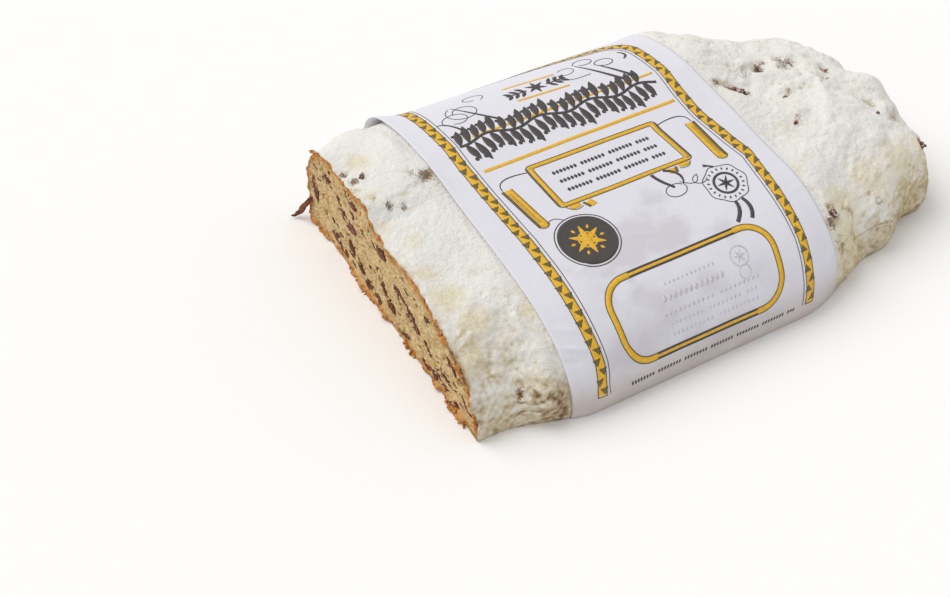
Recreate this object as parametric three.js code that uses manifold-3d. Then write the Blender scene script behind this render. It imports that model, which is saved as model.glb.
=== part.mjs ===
// A cut stollen in its paper band: a folded, sugared loaf with raisins, sliced off square at one end.
// The loaf lies along X, with the cut at its low end, and the folded ridge along its back, at +Y.
// Millimetres, +Z up, with the table at Z = 0.
import * as THREE from "three";
import { mergeVertices } from "three/addons/utils/BufferGeometryUtils.js";
import Module from "manifold-3d";

// The loaf's outline from above: half widths at the cut, at the widest place and towards the far end
const LOAF_LENGTH = 279;
const CUT_HALF_WIDTH = 85.5;
const FRONT_HALF_WIDTH = 97;
const BACK_HALF_WIDTH = 94;
const FAR_FRONT_HALF_WIDTH = 76;
const FAR_BACK_HALF_WIDTH = 66;
const SWELL_START = 8;
const SWELL_END = 50;
const FRONT_NARROWING = { start: 160, end: 232 };
const BACK_NARROWING = { start: 186, end: 262 };
const WIDTH_TAPER_START = 190;
const WIDTH_TAPER_POWER = 4;

// The loaf's height: a broad lobe in front and the folded ridge behind it
const LOBE_HEIGHT = 46;
const LOBE_CENTRE = -0.06;
const LOBE_POWER_AT_CUT = 2.05;
const LOBE_POWER = 2.6;
const RIDGE_HEIGHT_AT_CUT = 52.5;
const RIDGE_HEIGHT = 55.5;
const FAR_RIDGE_HEIGHT = 43;
const RIDGE_FALL = { start: 180, end: 245 };
const RIDGE_CENTRE = 0.36;
const RIDGE_FRONT_SPAN = 0.3;
const RIDGE_POWER_AT_CUT = 3.6;
const RIDGE_POWER = 2.7;
const HEIGHT_TAPER_START = 222;
const HEIGHT_TAPER_POWER = 3.4;
const BLEND_POWER = 14;
const NOSE_HEIGHT = 12;
const BASE_END = 266;

// The baked edge round the base is tucked in, and less so where the loaf is narrower than the limit
const TUCK = 1.2;
const TUCK_HEIGHT = 8;
const TUCK_WIDTH_LIMIT = 4.8;

// The knife left the cut a little off square
const CUT_SKEW = 0.033;
const CUT_SKEW_REACH = 34;

// The uneven crust: two sets of waves, with lengths along and across the loaf, and the line of the fold
const WAVE_HEIGHT = 1.3;
const LONG_WAVE = { x: 9, y: 11, shift: 0.8 };
const LONG_WAVE_SWAY = { y: 21, size: 1.2 };
const SHORT_WAVE = { x: 5, y: 7, share: 0.5 };
const FOLD_DEPTH = 2.2;
const FOLD_HALF_WIDTH = 5;
const FOLD_FADE = { start: 225, end: 262 };
// The crust is smooth at the foot, and has its whole relief from the second height upwards
const RELIEF_START = 2;
const RELIEF_FULL = 14;

// The paper band, wrapped tightly round the loaf and under it
const BAND_START = 37;
const BAND_WIDTH = 148;
const BAND_END = BAND_START + BAND_WIDTH;
const PAPER = 0.4;
const GAP = 0.3;
const BAND_SHOULDER = 8;

// How finely the shapes are divided
const CROWN_STEPS = 42;
const BASE_STEPS = 6;
const CUT_TO_BAND_STEPS = 8;
const BAND_STEPS = 8;
const FAR_STEPS = 18;
const RAISIN_SEGMENTS = 8;
const RAISIN_RINGS = 6;

// Bulges and dents in the crust: place along and across the loaf, radius, and height above the crust
const BULGES = [
  { x: 27, y: -90, radius: 12, height: 3.0 },
  { x: 14, y: -52, radius: 16, height: 1.6 },
  { x: 206, y: 8, radius: 11, height: -2.6 },
  { x: 232, y: -22, radius: 20, height: 2.2 },
  { x: 204, y: -62, radius: 16, height: -1.5 },
  { x: 262, y: 16, radius: 14, height: 3.5 },
  { x: 268, y: -10, radius: 13, height: 5.0 },
  { x: 266, y: -38, radius: 9, height: -3.5 },
  { x: 254, y: -62, radius: 17, height: 3.5 },
];
// How fast a bulge falls away, as the power of e at its radius
const BULGE_FALL = 2;

// Raisins that the knife cut through: place on the cut, length, thickness, depth and tilt in degrees
const CUT_RAISINS = [
  { y: 75, z: 23, length: 12, thick: 7, depth: 9, tilt: 78 },
  { y: 33, z: 44, length: 12, thick: 5.5, depth: 8, tilt: 12 },
  { y: 38, z: 28.5, length: 15, thick: 7, depth: 9, tilt: 8 },
  { y: 48, z: 7, length: 14, thick: 8, depth: 10, tilt: 12 },
  { y: 35, z: 15, length: 7, thick: 5, depth: 6, tilt: 30 },
  { y: 2, z: 36, length: 9, thick: 7, depth: 8, tilt: 5 },
  { y: 25, z: 10, length: 7, thick: 4.5, depth: 7, tilt: 20 },
  { y: 14, z: 4.4, length: 16, thick: 6, depth: 9, tilt: 0 },
  { y: 5, z: 21, length: 8.5, thick: 5.5, depth: 7, tilt: 40 },
  { y: -4, z: 12.5, length: 10, thick: 6, depth: 8, tilt: 30 },
  { y: -16, z: 23, length: 15, thick: 7.5, depth: 9, tilt: 22 },
  { y: -28, z: 19.5, length: 12, thick: 6.5, depth: 8, tilt: 30 },
  { y: -17, z: 4.8, length: 11, thick: 6, depth: 8, tilt: -6 },
  { y: -41, z: 15, length: 8, thick: 5.5, depth: 7, tilt: 36 },
  { y: -42, z: 5.2, length: 14, thick: 7, depth: 10, tilt: 0 },
  { y: -57, z: 13, length: 11, thick: 5, depth: 7, tilt: 22 },
  { y: -62, z: 23.5, length: 8, thick: 5, depth: 8, tilt: 40 },
  { y: -75, z: 12.5, length: 9.5, thick: 6, depth: 8, tilt: 30 },
  { y: -61, z: 4.2, length: 12, thick: 5.5, depth: 9, tilt: 0 },
  { y: 60, z: 37, length: 9, thick: 6, depth: 8, tilt: -20 },
];
const CUT_RAISIN_CENTRE = 0.8;

// Raisins that show through the sugar crust: place from above, length, width, thickness and turn in degrees
const CRUST_RAISINS = [
  { x: 8, y: 36, length: 7.5, width: 4, thick: 4.5, turn: 60 },
  { x: 198, y: 13, length: 16, width: 6, thick: 5, turn: -38 },
  { x: 221, y: 20, length: 10, width: 6, thick: 5, turn: 8 },
  { x: 236, y: 16, length: 8, width: 6, thick: 5, turn: 20 },
  { x: 250, y: 3, length: 7, width: 5.5, thick: 4.5, turn: -30 },
  { x: 219, y: -5, length: 8, width: 5, thick: 4.5, turn: -15 },
  { x: 209, y: -24, length: 8, width: 5, thick: 4, turn: 35 },
  { x: 190.5, y: -73, length: 9, width: 5.5, thick: 5, turn: -72 },
  { x: 251, y: -35, length: 6.5, width: 5, thick: 4, turn: 50 },
  { x: 262, y: -54, length: 8, width: 6, thick: 5, turn: -40 },
];
const CRUST_RAISIN_SINK = 1.4;

// The raisin skin pulled out of the crust at the back foot of the cut
const CURL_WIDTH = 4.2;
const CURL_THICK = 2.6;
const CURL_END_SHARE = 0.45;
const CURL_ROUTE = [
  new THREE.Vector3(6, 80, 13),
  new THREE.Vector3(1, 81, 11),
  new THREE.Vector3(-1.5, 83, 5.5),
  new THREE.Vector3(-4, 84.5, 2.8),
  new THREE.Vector3(-7, 85.5, 1.7),
];
const CURL_STEPS = 10;
const CURL_SIDES = 8;

const CRUST_FINISH = { color: 0xe6dfca, roughness: 0.85 };
const PAPER_FINISH = { color: 0xdedbe4, roughness: 0.6 };
const RAISIN_FINISH = { color: 0x4a2a24, roughness: 0.45 };

// Points closer together than this are one point of a solid
const WELD = 1e-4;

const { lerp, smoothstep, degToRad } = THREE.MathUtils;
const wasm = await Module();
wasm.setup();

// One at the start of the rounded far end, falling to nothing at the tip along a superellipse
function endTaper(x, start, power) {
  const t = Math.min(1, Math.max(0, (x - start) / (LOAF_LENGTH - start)));
  return (1 - t ** power) ** (1 / power);
}

// One at the cut and nothing from the swollen part of the loaf onwards
function nearCut(x) {
  return 1 - smoothstep(x, SWELL_START, SWELL_END);
}

// The way from start to end at x: nothing before, one after, and smooth between them
function along(x, stretch) {
  return smoothstep(x, stretch.start, stretch.end);
}

// Half of the width at x, on the front side for a negative s and on the back side for a positive one
function halfWidth(x, s) {
  const front = lerp(FRONT_HALF_WIDTH, FAR_FRONT_HALF_WIDTH, along(x, FRONT_NARROWING));
  const back = lerp(BACK_HALF_WIDTH, FAR_BACK_HALF_WIDTH, along(x, BACK_NARROWING));
  const width = lerp(s < 0 ? front : back, CUT_HALF_WIDTH, nearCut(x));
  return width * endTaper(x, WIDTH_TAPER_START, WIDTH_TAPER_POWER);
}

// A superellipse arch: one at its centre, nothing at a distance of one
function arch(distance, power) {
  return (1 - Math.min(1, Math.abs(distance)) ** power) ** (1 / power);
}

// Height of the smooth crown at the side place s, from -1 at the front foot to 1 at the back foot
function crownHeight(x, s) {
  const lobePower = lerp(LOBE_POWER, LOBE_POWER_AT_CUT, nearCut(x));
  const lobeSpan = s < LOBE_CENTRE ? 1 + LOBE_CENTRE : 1 - LOBE_CENTRE;
  const lobe = LOBE_HEIGHT * arch((s - LOBE_CENTRE) / lobeSpan, lobePower);
  const ridgeSpan = s < RIDGE_CENTRE ? RIDGE_FRONT_SPAN : 1 - RIDGE_CENTRE;
  const ridgeTop = lerp(RIDGE_HEIGHT, RIDGE_HEIGHT_AT_CUT, nearCut(x)) -
    (RIDGE_HEIGHT - FAR_RIDGE_HEIGHT) * along(x, RIDGE_FALL);
  const ridgePower = lerp(RIDGE_POWER, RIDGE_POWER_AT_CUT, nearCut(x));
  const ridge = ridgeTop * arch((s - RIDGE_CENTRE) / ridgeSpan, ridgePower);
  const height = (lobe ** BLEND_POWER + ridge ** BLEND_POWER) ** (1 / BLEND_POWER);
  return height * endTaper(x, HEIGHT_TAPER_START, HEIGHT_TAPER_POWER);
}

// Height of the underside: flat on the table, then rising to the nose
function baseHeight(x) {
  const rise = Math.max(0, (x - BASE_END) / (LOAF_LENGTH - BASE_END));
  return NOSE_HEIGHT * rise ** 2;
}

// One under the paper band, nothing on the open crust
function underBand(x) {
  return smoothstep(x, BAND_START - BAND_SHOULDER, BAND_START) *
    (1 - smoothstep(x, BAND_END, BAND_END + BAND_SHOULDER));
}

// How far the crust stands out from the smooth form: long waves, the fold line and the listed bulges
function crustRelief(x, y) {
  const sway = LONG_WAVE_SWAY.size * Math.sin(y / LONG_WAVE_SWAY.y);
  const longWave = Math.sin(x / LONG_WAVE.x + sway) * Math.sin(y / LONG_WAVE.y + LONG_WAVE.shift);
  const shortWave = SHORT_WAVE.share * Math.sin(x / SHORT_WAVE.x + y / SHORT_WAVE.y);
  const foldPlace = halfWidth(x, 1) * (RIDGE_CENTRE - RIDGE_FRONT_SPAN);
  const fold = Math.exp(-(((y - foldPlace) / FOLD_HALF_WIDTH) ** 2)) * (1 - along(x, FOLD_FADE));
  let relief = WAVE_HEIGHT * (longWave + shortWave) - FOLD_DEPTH * fold;
  for (const bulge of BULGES) {
    const distance = Math.hypot(x - bulge.x, y - bulge.y) / bulge.radius;
    relief += bulge.height * Math.exp(-BULGE_FALL * distance ** 2);
  }
  return relief;
}

// The closed outline of the loaf at x, front foot over the crown to the back foot and back under the base
function smoothOutline(x) {
  const lift = baseHeight(x);
  const outline = [];
  for (let i = 0; i <= CROWN_STEPS; i++) {
    const s = -Math.cos((Math.PI * i) / CROWN_STEPS);
    const width = halfWidth(x, s);
    const z = crownHeight(x, s);
    const tuck = TUCK * Math.max(0, 1 - z / TUCK_HEIGHT) ** 2 * Math.min(1, width / TUCK_WIDTH_LIMIT);
    outline.push(new THREE.Vector2(s * width - Math.sign(s) * tuck, Math.max(z, lift)));
  }
  const foot = outline[CROWN_STEPS].x;
  for (let i = 1; i < BASE_STEPS; i++) {
    outline.push(new THREE.Vector2(lerp(foot, outline[0].x, i / BASE_STEPS), lift));
  }
  return outline;
}

// The outline that taut paper takes: a chord bridges the dip between the lobe and the ridge.
// The bridging chord is the one that passes highest over the dip.
function tautOutline(x) {
  const outline = smoothOutline(x);
  const crown = outline.slice(0, CROWN_STEPS + 1);
  const dip = halfWidth(x, 1) * (RIDGE_CENTRE - RIDGE_FRONT_SPAN);
  let chord = { height: 0, from: crown[0], to: crown[0] };
  for (const from of crown.filter((point) => point.x < dip)) {
    for (const to of crown.filter((point) => point.x > dip)) {
      const height = lerp(from.y, to.y, (dip - from.x) / (to.x - from.x));
      if (height > chord.height) {
        chord = { height, from, to };
      }
    }
  }
  return outline.map((point, i) => {
    const share = (point.x - chord.from.x) / (chord.to.x - chord.from.x);
    const bridged = i <= CROWN_STEPS && share > 0 && share < 1;
    return bridged ? new THREE.Vector2(point.x, lerp(chord.from.y, chord.to.y, share)) : point;
  });
}

// Each point of a closed outline moved out along its own normal by the distance that amount gives
function offsetOutline(outline, amount) {
  const count = outline.length;
  return outline.map((point, i) => {
    const before = outline[(i + count - 1) % count];
    const after = outline[(i + 1) % count];
    const heading = after.clone().sub(before).normalize();
    return new THREE.Vector2(-heading.y, heading.x).multiplyScalar(amount(point, i)).add(point);
  });
}

// The outline with its crust relief, and drawn in under the band to leave room for the paper
function crustOutline(x) {
  const hidden = underBand(x);
  const room = (PAPER + GAP) * hidden;
  const taper = endTaper(x, HEIGHT_TAPER_START, HEIGHT_TAPER_POWER);
  const smooth = smoothOutline(x);
  return offsetOutline(smooth, (point, i) => {
    const onCrown = i <= CROWN_STEPS ? smoothstep(point.y, RELIEF_START, RELIEF_FULL) : 0;
    return crustRelief(x, point.x) * onCrown * taper * (1 - hidden) - room;
  });
}

// The skew of the knife cut, which fades out behind it
function knifeSkew(x, y) {
  return CUT_SKEW * y * Math.max(0, 1 - x / CUT_SKEW_REACH);
}

function geometryFrom(positions, triangles) {
  const geometry = new THREE.BufferGeometry();
  geometry.setAttribute("position", new THREE.Float32BufferAttribute(positions, 3));
  geometry.setIndex(triangles);
  return geometry;
}

// A skin over a row of closed outlines, one at each x, closed at both ends by fans to the end points
function skinOver(stations, outlines, endPoints) {
  const count = outlines[0].length;
  const positions = [];
  const triangles = [];
  outlines.forEach((outline, k) => {
    outline.forEach((point) => positions.push(stations[k], point.x, point.y));
  });
  for (let k = 0; k + 1 < outlines.length; k++) {
    for (let i = 0; i < count; i++) {
      const here = k * count + i;
      const beside = k * count + ((i + 1) % count);
      triangles.push(here, here + count, beside);
      triangles.push(beside, here + count, beside + count);
    }
  }
  endPoints.forEach((point, end) => {
    const centre = positions.length / 3;
    const first = end * (outlines.length - 1) * count;
    positions.push(point.x, point.y, point.z);
    for (let i = 0; i < count; i++) {
      const pair = [first + i, first + ((i + 1) % count)];
      triangles.push(centre, pair[end], pair[1 - end]);
    }
  });
  return geometryFrom(positions, triangles);
}

function evenSteps(start, end, steps) {
  return Array.from({ length: steps + 1 }, (_, k) => lerp(start, end, k / steps));
}

function loafGeometry() {
  const turns = evenSteps(0, Math.PI / 2, FAR_STEPS).slice(1, -1);
  const stations = [
    ...evenSteps(0, BAND_START, CUT_TO_BAND_STEPS).slice(0, -1),
    ...evenSteps(BAND_START, BAND_END, BAND_STEPS),
    ...turns.map((turn) => lerp(BAND_END, LOAF_LENGTH, Math.sin(turn))),
  ];
  const cutCentre = new THREE.Vector3(0, 0, LOBE_HEIGHT / 2);
  const tip = new THREE.Vector3(LOAF_LENGTH, 0, NOSE_HEIGHT);
  return skinOver(stations, stations.map(crustOutline), [cutCentre, tip]);
}

// The band as one closed ring of paper: its outer face, its inner face and the two cut edges between them
function bandGeometry() {
  const positions = [];
  const triangles = [];
  const stations = evenSteps(BAND_START, BAND_END, BAND_STEPS);
  const loops = [...stations, ...stations.toReversed()].map((x, k) => {
    const inside = k > BAND_STEPS;
    const outline = offsetOutline(tautOutline(x), () => (inside ? -PAPER : 0));
    return outline.map((point) => [x, point.x, point.y]);
  });
  loops.forEach((loop) => loop.forEach((point) => positions.push(...point)));
  const count = loops[0].length;
  for (let k = 0; k < loops.length; k++) {
    const next = (k + 1) % loops.length;
    for (let i = 0; i < count; i++) {
      const beside = (i + 1) % count;
      triangles.push(k * count + i, next * count + i, k * count + beside);
      triangles.push(k * count + beside, next * count + i, next * count + beside);
    }
  }
  return geometryFrom(positions, triangles);
}

function raisinGeometry(length, width, thick, grow) {
  const geometry = new THREE.SphereGeometry(1, RAISIN_SEGMENTS, RAISIN_RINGS);
  return geometry.scale(length / 2 + grow, width / 2 + grow, thick / 2 + grow);
}

// A raisin with its middle just behind the cut: its length lies across the loaf, tilted in the cut's plane
function cutRaisinGeometry(raisin, grow) {
  return raisinGeometry(raisin.length, raisin.depth, raisin.thick, grow)
    .rotateZ(Math.PI / 2)
    .rotateX(degToRad(raisin.tilt))
    .translate(CUT_RAISIN_CENTRE, raisin.y, raisin.z);
}

function crustRaisinGeometry(raisin, grow) {
  const side = raisin.y / halfWidth(raisin.x, raisin.y);
  const z = crownHeight(raisin.x, side) + crustRelief(raisin.x, raisin.y) - CRUST_RAISIN_SINK;
  return raisinGeometry(raisin.length, raisin.width, raisin.thick, grow)
    .rotateZ(degToRad(raisin.turn))
    .translate(raisin.x, raisin.y, z);
}

// A flat curl that narrows to both ends, carried along its route
function curlGeometry(grow) {
  const route = new THREE.CatmullRomCurve3(CURL_ROUTE);
  const frames = route.computeFrenetFrames(CURL_STEPS, false);
  const positions = [];
  const triangles = [];
  for (let k = 0; k <= CURL_STEPS; k++) {
    const centre = route.getPointAt(k / CURL_STEPS);
    const full = lerp(1, CURL_END_SHARE, k / CURL_STEPS);
    for (let i = 0; i < CURL_SIDES; i++) {
      const turn = (2 * Math.PI * i) / CURL_SIDES;
      const point = centre.clone()
        .addScaledVector(frames.normals[k], Math.cos(turn) * ((CURL_THICK / 2) * full + grow))
        .addScaledVector(frames.binormals[k], Math.sin(turn) * ((CURL_WIDTH / 2) * full + grow));
      positions.push(point.x, point.y, point.z);
    }
  }
  for (let k = 0; k < CURL_STEPS; k++) {
    for (let i = 0; i < CURL_SIDES; i++) {
      const here = k * CURL_SIDES + i;
      const beside = k * CURL_SIDES + ((i + 1) % CURL_SIDES);
      triangles.push(here, beside, here + CURL_SIDES);
      triangles.push(beside, beside + CURL_SIDES, here + CURL_SIDES);
    }
  }
  const last = CURL_STEPS * CURL_SIDES;
  for (let i = 1; i + 1 < CURL_SIDES; i++) {
    triangles.push(0, i + 1, i);
    triangles.push(last, last + i, last + i + 1);
  }
  return geometryFrom(positions, triangles);
}

function solidFrom(geometry) {
  const bare = geometry.clone();
  bare.deleteAttribute("normal");
  bare.deleteAttribute("uv");
  const merged = mergeVertices(bare, WELD);
  return new wasm.Manifold(new wasm.Mesh({
    numProp: 3,
    vertProperties: merged.attributes.position.array,
    triVerts: new Uint32Array(merged.index.array),
  }));
}

// The solid's geometry, with the skew of the knife cut carried into it
function geometryOf(solid) {
  const mesh = solid.getMesh();
  const positions = Array.from(mesh.vertProperties);
  for (let i = 0; i < positions.length; i += 3) {
    positions[i] += knifeSkew(positions[i], positions[i + 1]);
  }
  return geometryFrom(positions, Array.from(mesh.triVerts));
}

function addPiece(group, name, geometry, finish) {
  const mesh = new THREE.Mesh(geometry, new THREE.MeshStandardMaterial({ ...finish, metalness: 0 }));
  mesh.name = name;
  group.add(mesh);
}

function stollen() {
  const group = new THREE.Group();
  let loaf = solidFrom(loafGeometry());
  const beforeTheCut = wasm.Manifold.cube([LOAF_LENGTH, LOAF_LENGTH, LOAF_LENGTH], true)
    .translate([-LOAF_LENGTH / 2, 0, 0]);
  const raisins = [];
  for (const raisin of CUT_RAISINS) {
    raisins.push(solidFrom(cutRaisinGeometry(raisin, 0)).subtract(beforeTheCut));
    loaf = loaf.subtract(solidFrom(cutRaisinGeometry(raisin, GAP)));
  }
  for (const raisin of CRUST_RAISINS) {
    raisins.push(solidFrom(crustRaisinGeometry(raisin, 0)));
    loaf = loaf.subtract(solidFrom(crustRaisinGeometry(raisin, GAP)));
  }
  const curl = solidFrom(curlGeometry(0));
  loaf = loaf.subtract(solidFrom(curlGeometry(GAP)));

  addPiece(group, "loaf", geometryOf(loaf), CRUST_FINISH);
  addPiece(group, "paper_band", bandGeometry(), PAPER_FINISH);
  raisins.forEach((raisin, i) => {
    const name = "raisin_" + String(i + 1).padStart(2, "0");
    addPiece(group, name, geometryOf(raisin), RAISIN_FINISH);
  });
  addPiece(group, "raisin_curl", geometryOf(curl), RAISIN_FINISH);

  // The frame's origin is under the middle of the whole, on the table
  const box = new THREE.Box3().setFromObject(group);
  const middle = box.getCenter(new THREE.Vector3());
  group.position.set(-middle.x, -middle.y, -box.min.z);
  return group;
}

export default stollen();
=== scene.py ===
"""A cut stollen in its paper band: the sugared crust, the crumb with its raisins, and the printed paper."""

import math

import bpy
import numpy as np
from bpy.props import FloatProperty, FloatVectorProperty, PointerProperty
from mathutils import Matrix, Vector


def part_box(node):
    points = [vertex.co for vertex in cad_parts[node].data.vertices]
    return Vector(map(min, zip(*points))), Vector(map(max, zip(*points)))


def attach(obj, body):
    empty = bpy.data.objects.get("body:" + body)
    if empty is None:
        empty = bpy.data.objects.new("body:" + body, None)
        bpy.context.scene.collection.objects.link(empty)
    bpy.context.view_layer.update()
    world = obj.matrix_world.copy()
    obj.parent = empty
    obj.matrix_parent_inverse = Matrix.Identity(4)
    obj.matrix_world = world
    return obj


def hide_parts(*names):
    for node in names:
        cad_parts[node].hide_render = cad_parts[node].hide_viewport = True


bl_info = {
    "name": "Stollen in a paper band",
    "version": (1, 0, 0),
    "blender": (4, 5, 0),
    "location": "View3D > Sidebar > Stollen",
    "description": "Builds a cut, sugared fruit loaf with its crumb, raisins and printed paper band",
    "category": "Add Mesh",
}

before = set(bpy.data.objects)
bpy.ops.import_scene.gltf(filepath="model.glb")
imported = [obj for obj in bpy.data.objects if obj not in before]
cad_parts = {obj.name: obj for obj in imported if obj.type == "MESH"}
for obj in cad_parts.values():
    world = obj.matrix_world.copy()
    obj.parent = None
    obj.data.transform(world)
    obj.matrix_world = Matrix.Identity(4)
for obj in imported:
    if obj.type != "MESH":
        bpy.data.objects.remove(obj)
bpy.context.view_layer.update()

# Shapes are worked out in millimetres: x from the cut along the loaf, y from the middle of the cut's foot
MM = 0.001
LOAF_LENGTH = 279.0
CUT_HALF_WIDTH = 85.5
FRONT_HALF_WIDTH = 97.0
BACK_HALF_WIDTH = 94.0
FAR_FRONT_HALF_WIDTH = 76.0
FAR_BACK_HALF_WIDTH = 66.0
SWELL = (8.0, 50.0)
FRONT_NARROWING = (160.0, 232.0)
BACK_NARROWING = (186.0, 262.0)
WIDTH_TAPER = (190.0, 4.0)
LOBE_HEIGHT = 46.0
LOBE_CENTRE = -0.06
LOBE_POWERS = (2.6, 2.05)
RIDGE_HEIGHTS = (55.5, 52.5)
FAR_RIDGE_DROP = 12.5
RIDGE_FALL = (180.0, 245.0)
RIDGE_CENTRE = 0.36
RIDGE_FRONT_SPAN = 0.3
RIDGE_POWERS = (2.7, 3.6)
HEIGHT_TAPER = (222.0, 3.4)
BLEND_POWER = 14.0
NOSE_HEIGHT = 12.0
BASE_END = 266.0
TUCK = 1.2
TUCK_HEIGHT = 8.0
TUCK_WIDTH_LIMIT = 4.8
CUT_SKEW = 0.033
CUT_SKEW_REACH = 34.0
BAND_START = 37.0
BAND_WIDTH = 148.0
BAND_END = BAND_START + BAND_WIDTH
BAND_SHOULDER = 8.0
PAPER_ROOM = 0.7

# The same bulges and dents as the solid: place along and across the loaf, radius, and height
BULGES = (
    (27, -90, 12, 3.0), (14, -52, 16, 1.6), (206, 8, 11, -2.6), (232, -22, 20, 2.2), (204, -62, 16, -1.5),
    (262, 16, 14, 3.5), (268, -10, 13, 5.0), (266, -38, 9, -3.5), (254, -62, 17, 3.5),
)
# Small dents in the finished crust only
DENTS = (
    (203, 20, 8, -1.2), (216, 24, 6, 2.4), (225, 25, 4.5, -1.6),
    (231, 15, 6, 2.2), (241, 14, 4.5, -1.8), (247, 9, 6, 1.6), (212, 14, 5, -1.2), (222, 12, 6, 1.2),
    (262, -31, 7, 2.8), (256, -25, 4, -2.2), (259, -39, 4, -1.9), (194, 14, 4, -1.2), (200, 9, 4, -1.3),
    (228, 24, 3.4, -2.2), (236, 21, 3.4, -2.4), (251, 5, 3.4, -2.2), (219, 17, 3.4, -1.6), (244, -1, 4, -1.4),
)
# Where the fold shows as a groove: places along the loaf and across it
GROOVE = ((0, 37, 110, 187, 211, 231, 250), (12, 21, 27, 32, 23, 12, 4))
# Stains of melted sugar, burnt fruit and rubbed crust: place, radius, how bare and how speckled
STAINS = (
    (34, 22, 4.6, 0.5, 1.15), (29, 25, 3.6, 0.3, 0.7), (36, 16, 3.0, 0.2, 0.6), (11, 14, 2.4, 0.6, 0.95),
    (17, 11, 2.2, 0.4, 0.85), (7, 20, 2.4, 0.5, 0.6), (5.5, 36, 2.9, 0.8, 1.0), (3.5, 43, 2.2, 0.9, 1.2),
    (3, 30, 2.6, 0.6, 0.5), (18, -83, 2.4, 0.8, 0.9), (23, -86, 2.2, 0.5, 0.5), (9, -74, 4.0, 0.4, 0.3),
    (31, -91, 6.0, 0.35, 0.3), (5, -60, 4.0, 0.45, 0.2), (20, -30, 6.0, 0.18, 0.1), (31, -5, 5.0, 0.15, 0.1),
    (191, 15, 3.6, 0.6, 1.05), (196, 11, 3.4, 0.7, 1.1), (202, 6, 2.6, 0.6, 1.2), (210, 19, 6.0, 0.35, 0.6),
    (221, 19, 4.0, 0.45, 0.85), (226, 23, 2.6, 0.6, 0.95), (232, 15, 4.0, 0.4, 0.9),
    (239, 17, 3.0, 0.7, 1.15), (251, 4.5, 2.8, 0.7, 1.25), (247, -2, 2.4, 0.4, 0.9),
    (221, -3, 2.6, 0.45, 0.7), (211, -22, 2.8, 0.4, 0.7), (214, -16, 2.2, 0.3, 0.5), (246, 9, 3.0, 0.3, 0.5),
    (187, -77, 3.0, 0.9, 1.1), (191, -72, 3.0, 0.6, 0.7), (188, -84, 4.0, 0.5, 0.6),
    (187, -60, 3.0, 0.3, 0.4), (262, -37, 4.0, 0.6, 0.7), (256, -26, 3.6, 0.6, 0.7),
    (264, -52, 3.2, 0.6, 0.6), (189, -30, 5.0, 0.2, 0.3),
    (228, 24, 2.6, 0.8, 1.0), (236, 21, 2.6, 0.9, 1.1), (219, 17, 2.6, 0.6, 0.8),
)
# Where the far front side is drawn in, or swells where the depth is below nought: place, reach and depth
SIDE_PINCHES = ((247, 10, 5.5), (225, 11, -3.6))
# Buttery patches where the sugar has soaked through: place, radius and strength
BUTTER = (
    (13, 47, 8, 1.0), (7, 22, 6, 0.9), (4, 5, 6, 0.8), (10, -8, 7, 0.8), (6, -26, 7, 1.0), (8, -42, 10, 1.1),
    (12, -56, 9, 0.9), (5, -66, 8, 1.0), (22, -66, 9, 0.6), (34, -62, 7, 0.8), (26, -84, 8, 0.7),
    (10, -82, 6, 0.6), (33, -38, 6, 0.5), (189, -48, 7, 0.6), (200, -70, 13, 1.0), (222, -64, 16, 0.9),
    (244, -62, 15, 1.0),
    (262, -58, 12, 1.0), (196, -82, 14, 1.1), (256, -20, 8, 0.5), (189, 28, 7, 0.5),
)
CURL_ROUTE = ((6, 80, 13), (1, 81, 11), (-1.5, 83, 5.5), (-4, 84.5, 2.8), (-7, 85.5, 1.7))
CURL_HALF_SIZES = (0.85, 2.1)
CUT_RAISINS = ["raisin_%02d" % number for number in range(1, 21)]
CRUST_RAISINS = ["raisin_%02d" % number for number in range(21, 31)]
CUT_RAISIN_CENTRE = 0.8
# How much of each raisin in the crust is free of sugar, as a share of its size
CRUST_RAISIN_SHARES = (0.8, 0.8, 0.5, 0.55, 0.6, 0.4, 0.42, 0.85, 0.5, 0.8)

# Heights and depths of each kind of relief, in the open crust by the cut and at the far end
WAVE_HEIGHT = 1.3
LUMP_HEIGHTS = (0.75, 1.3)
KNOB_HEIGHTS = (0.2, 0.75)
CLUMP_HEIGHTS = (0.15, 0.34)
CRACK_DEPTHS = (0.5, 1.1)
HOLLOW_DEPTHS = (0.5, 0.9)
GROOVE_DEPTHS = (0.9, 1.7)
GROOVE_WIDTH = 1.7
# How raised and how rubbed the steep front is between the cut and the paper
FRONT_SPAN = (36, 60)
FLUFF_HEIGHT = 0.5
FRONT_KNOB_HEIGHT = 0.3
# How thickly the sugar lies: on steep sides, how much more on tops, and how much less elsewhere
SIDE_COVER = 0.55
TOP_COVER = 0.37
FOOT_LOSS = 0.12
FAR_SIDE_LOSS = 0.1
CUT_EDGE_LOSS = 0.24
FRONT_LOSS = 0.15
BARE_LOSS = 0.75
# How deep the crumb's pores and tears are, and how far its torn base stands out
FINE_PORE_DEPTH = 0.55
WIDE_PORE_DEPTH = 1.1
TEAR_DEPTH = 0.35
SPECK_DEPTH = 0.16
RAISIN_DENT_DEPTH = 0.4
TORN_BASE_REACH = 2.6
PORE_CELLS = (1.7, 4.4)
PORE_RADII = (0.75, 1.5)
# Counts of the small things in the cut
SLIVER_COUNT = 64
PEEL_COUNT = 22
RIM_CRUMB_COUNT = 210

# How finely the surfaces are divided
CUT_STATIONS = 58
HIDDEN_STATIONS = 10
FAR_STATIONS = 180
CROWN_POINTS = 300
BASE_POINTS = 16
CRUMB_COLUMNS = 330
CRUMB_ROWS = 100
PAPER_COLUMNS = 149
PAPER_ROWS = 300
INK_STEP = 1.1

ORIGIN = np.array([
    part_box("paper_band")[0].x / MM - BAND_START,
    (FRONT_HALF_WIDTH - BACK_HALF_WIDTH) / 2,
    0.0,
])


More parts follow.
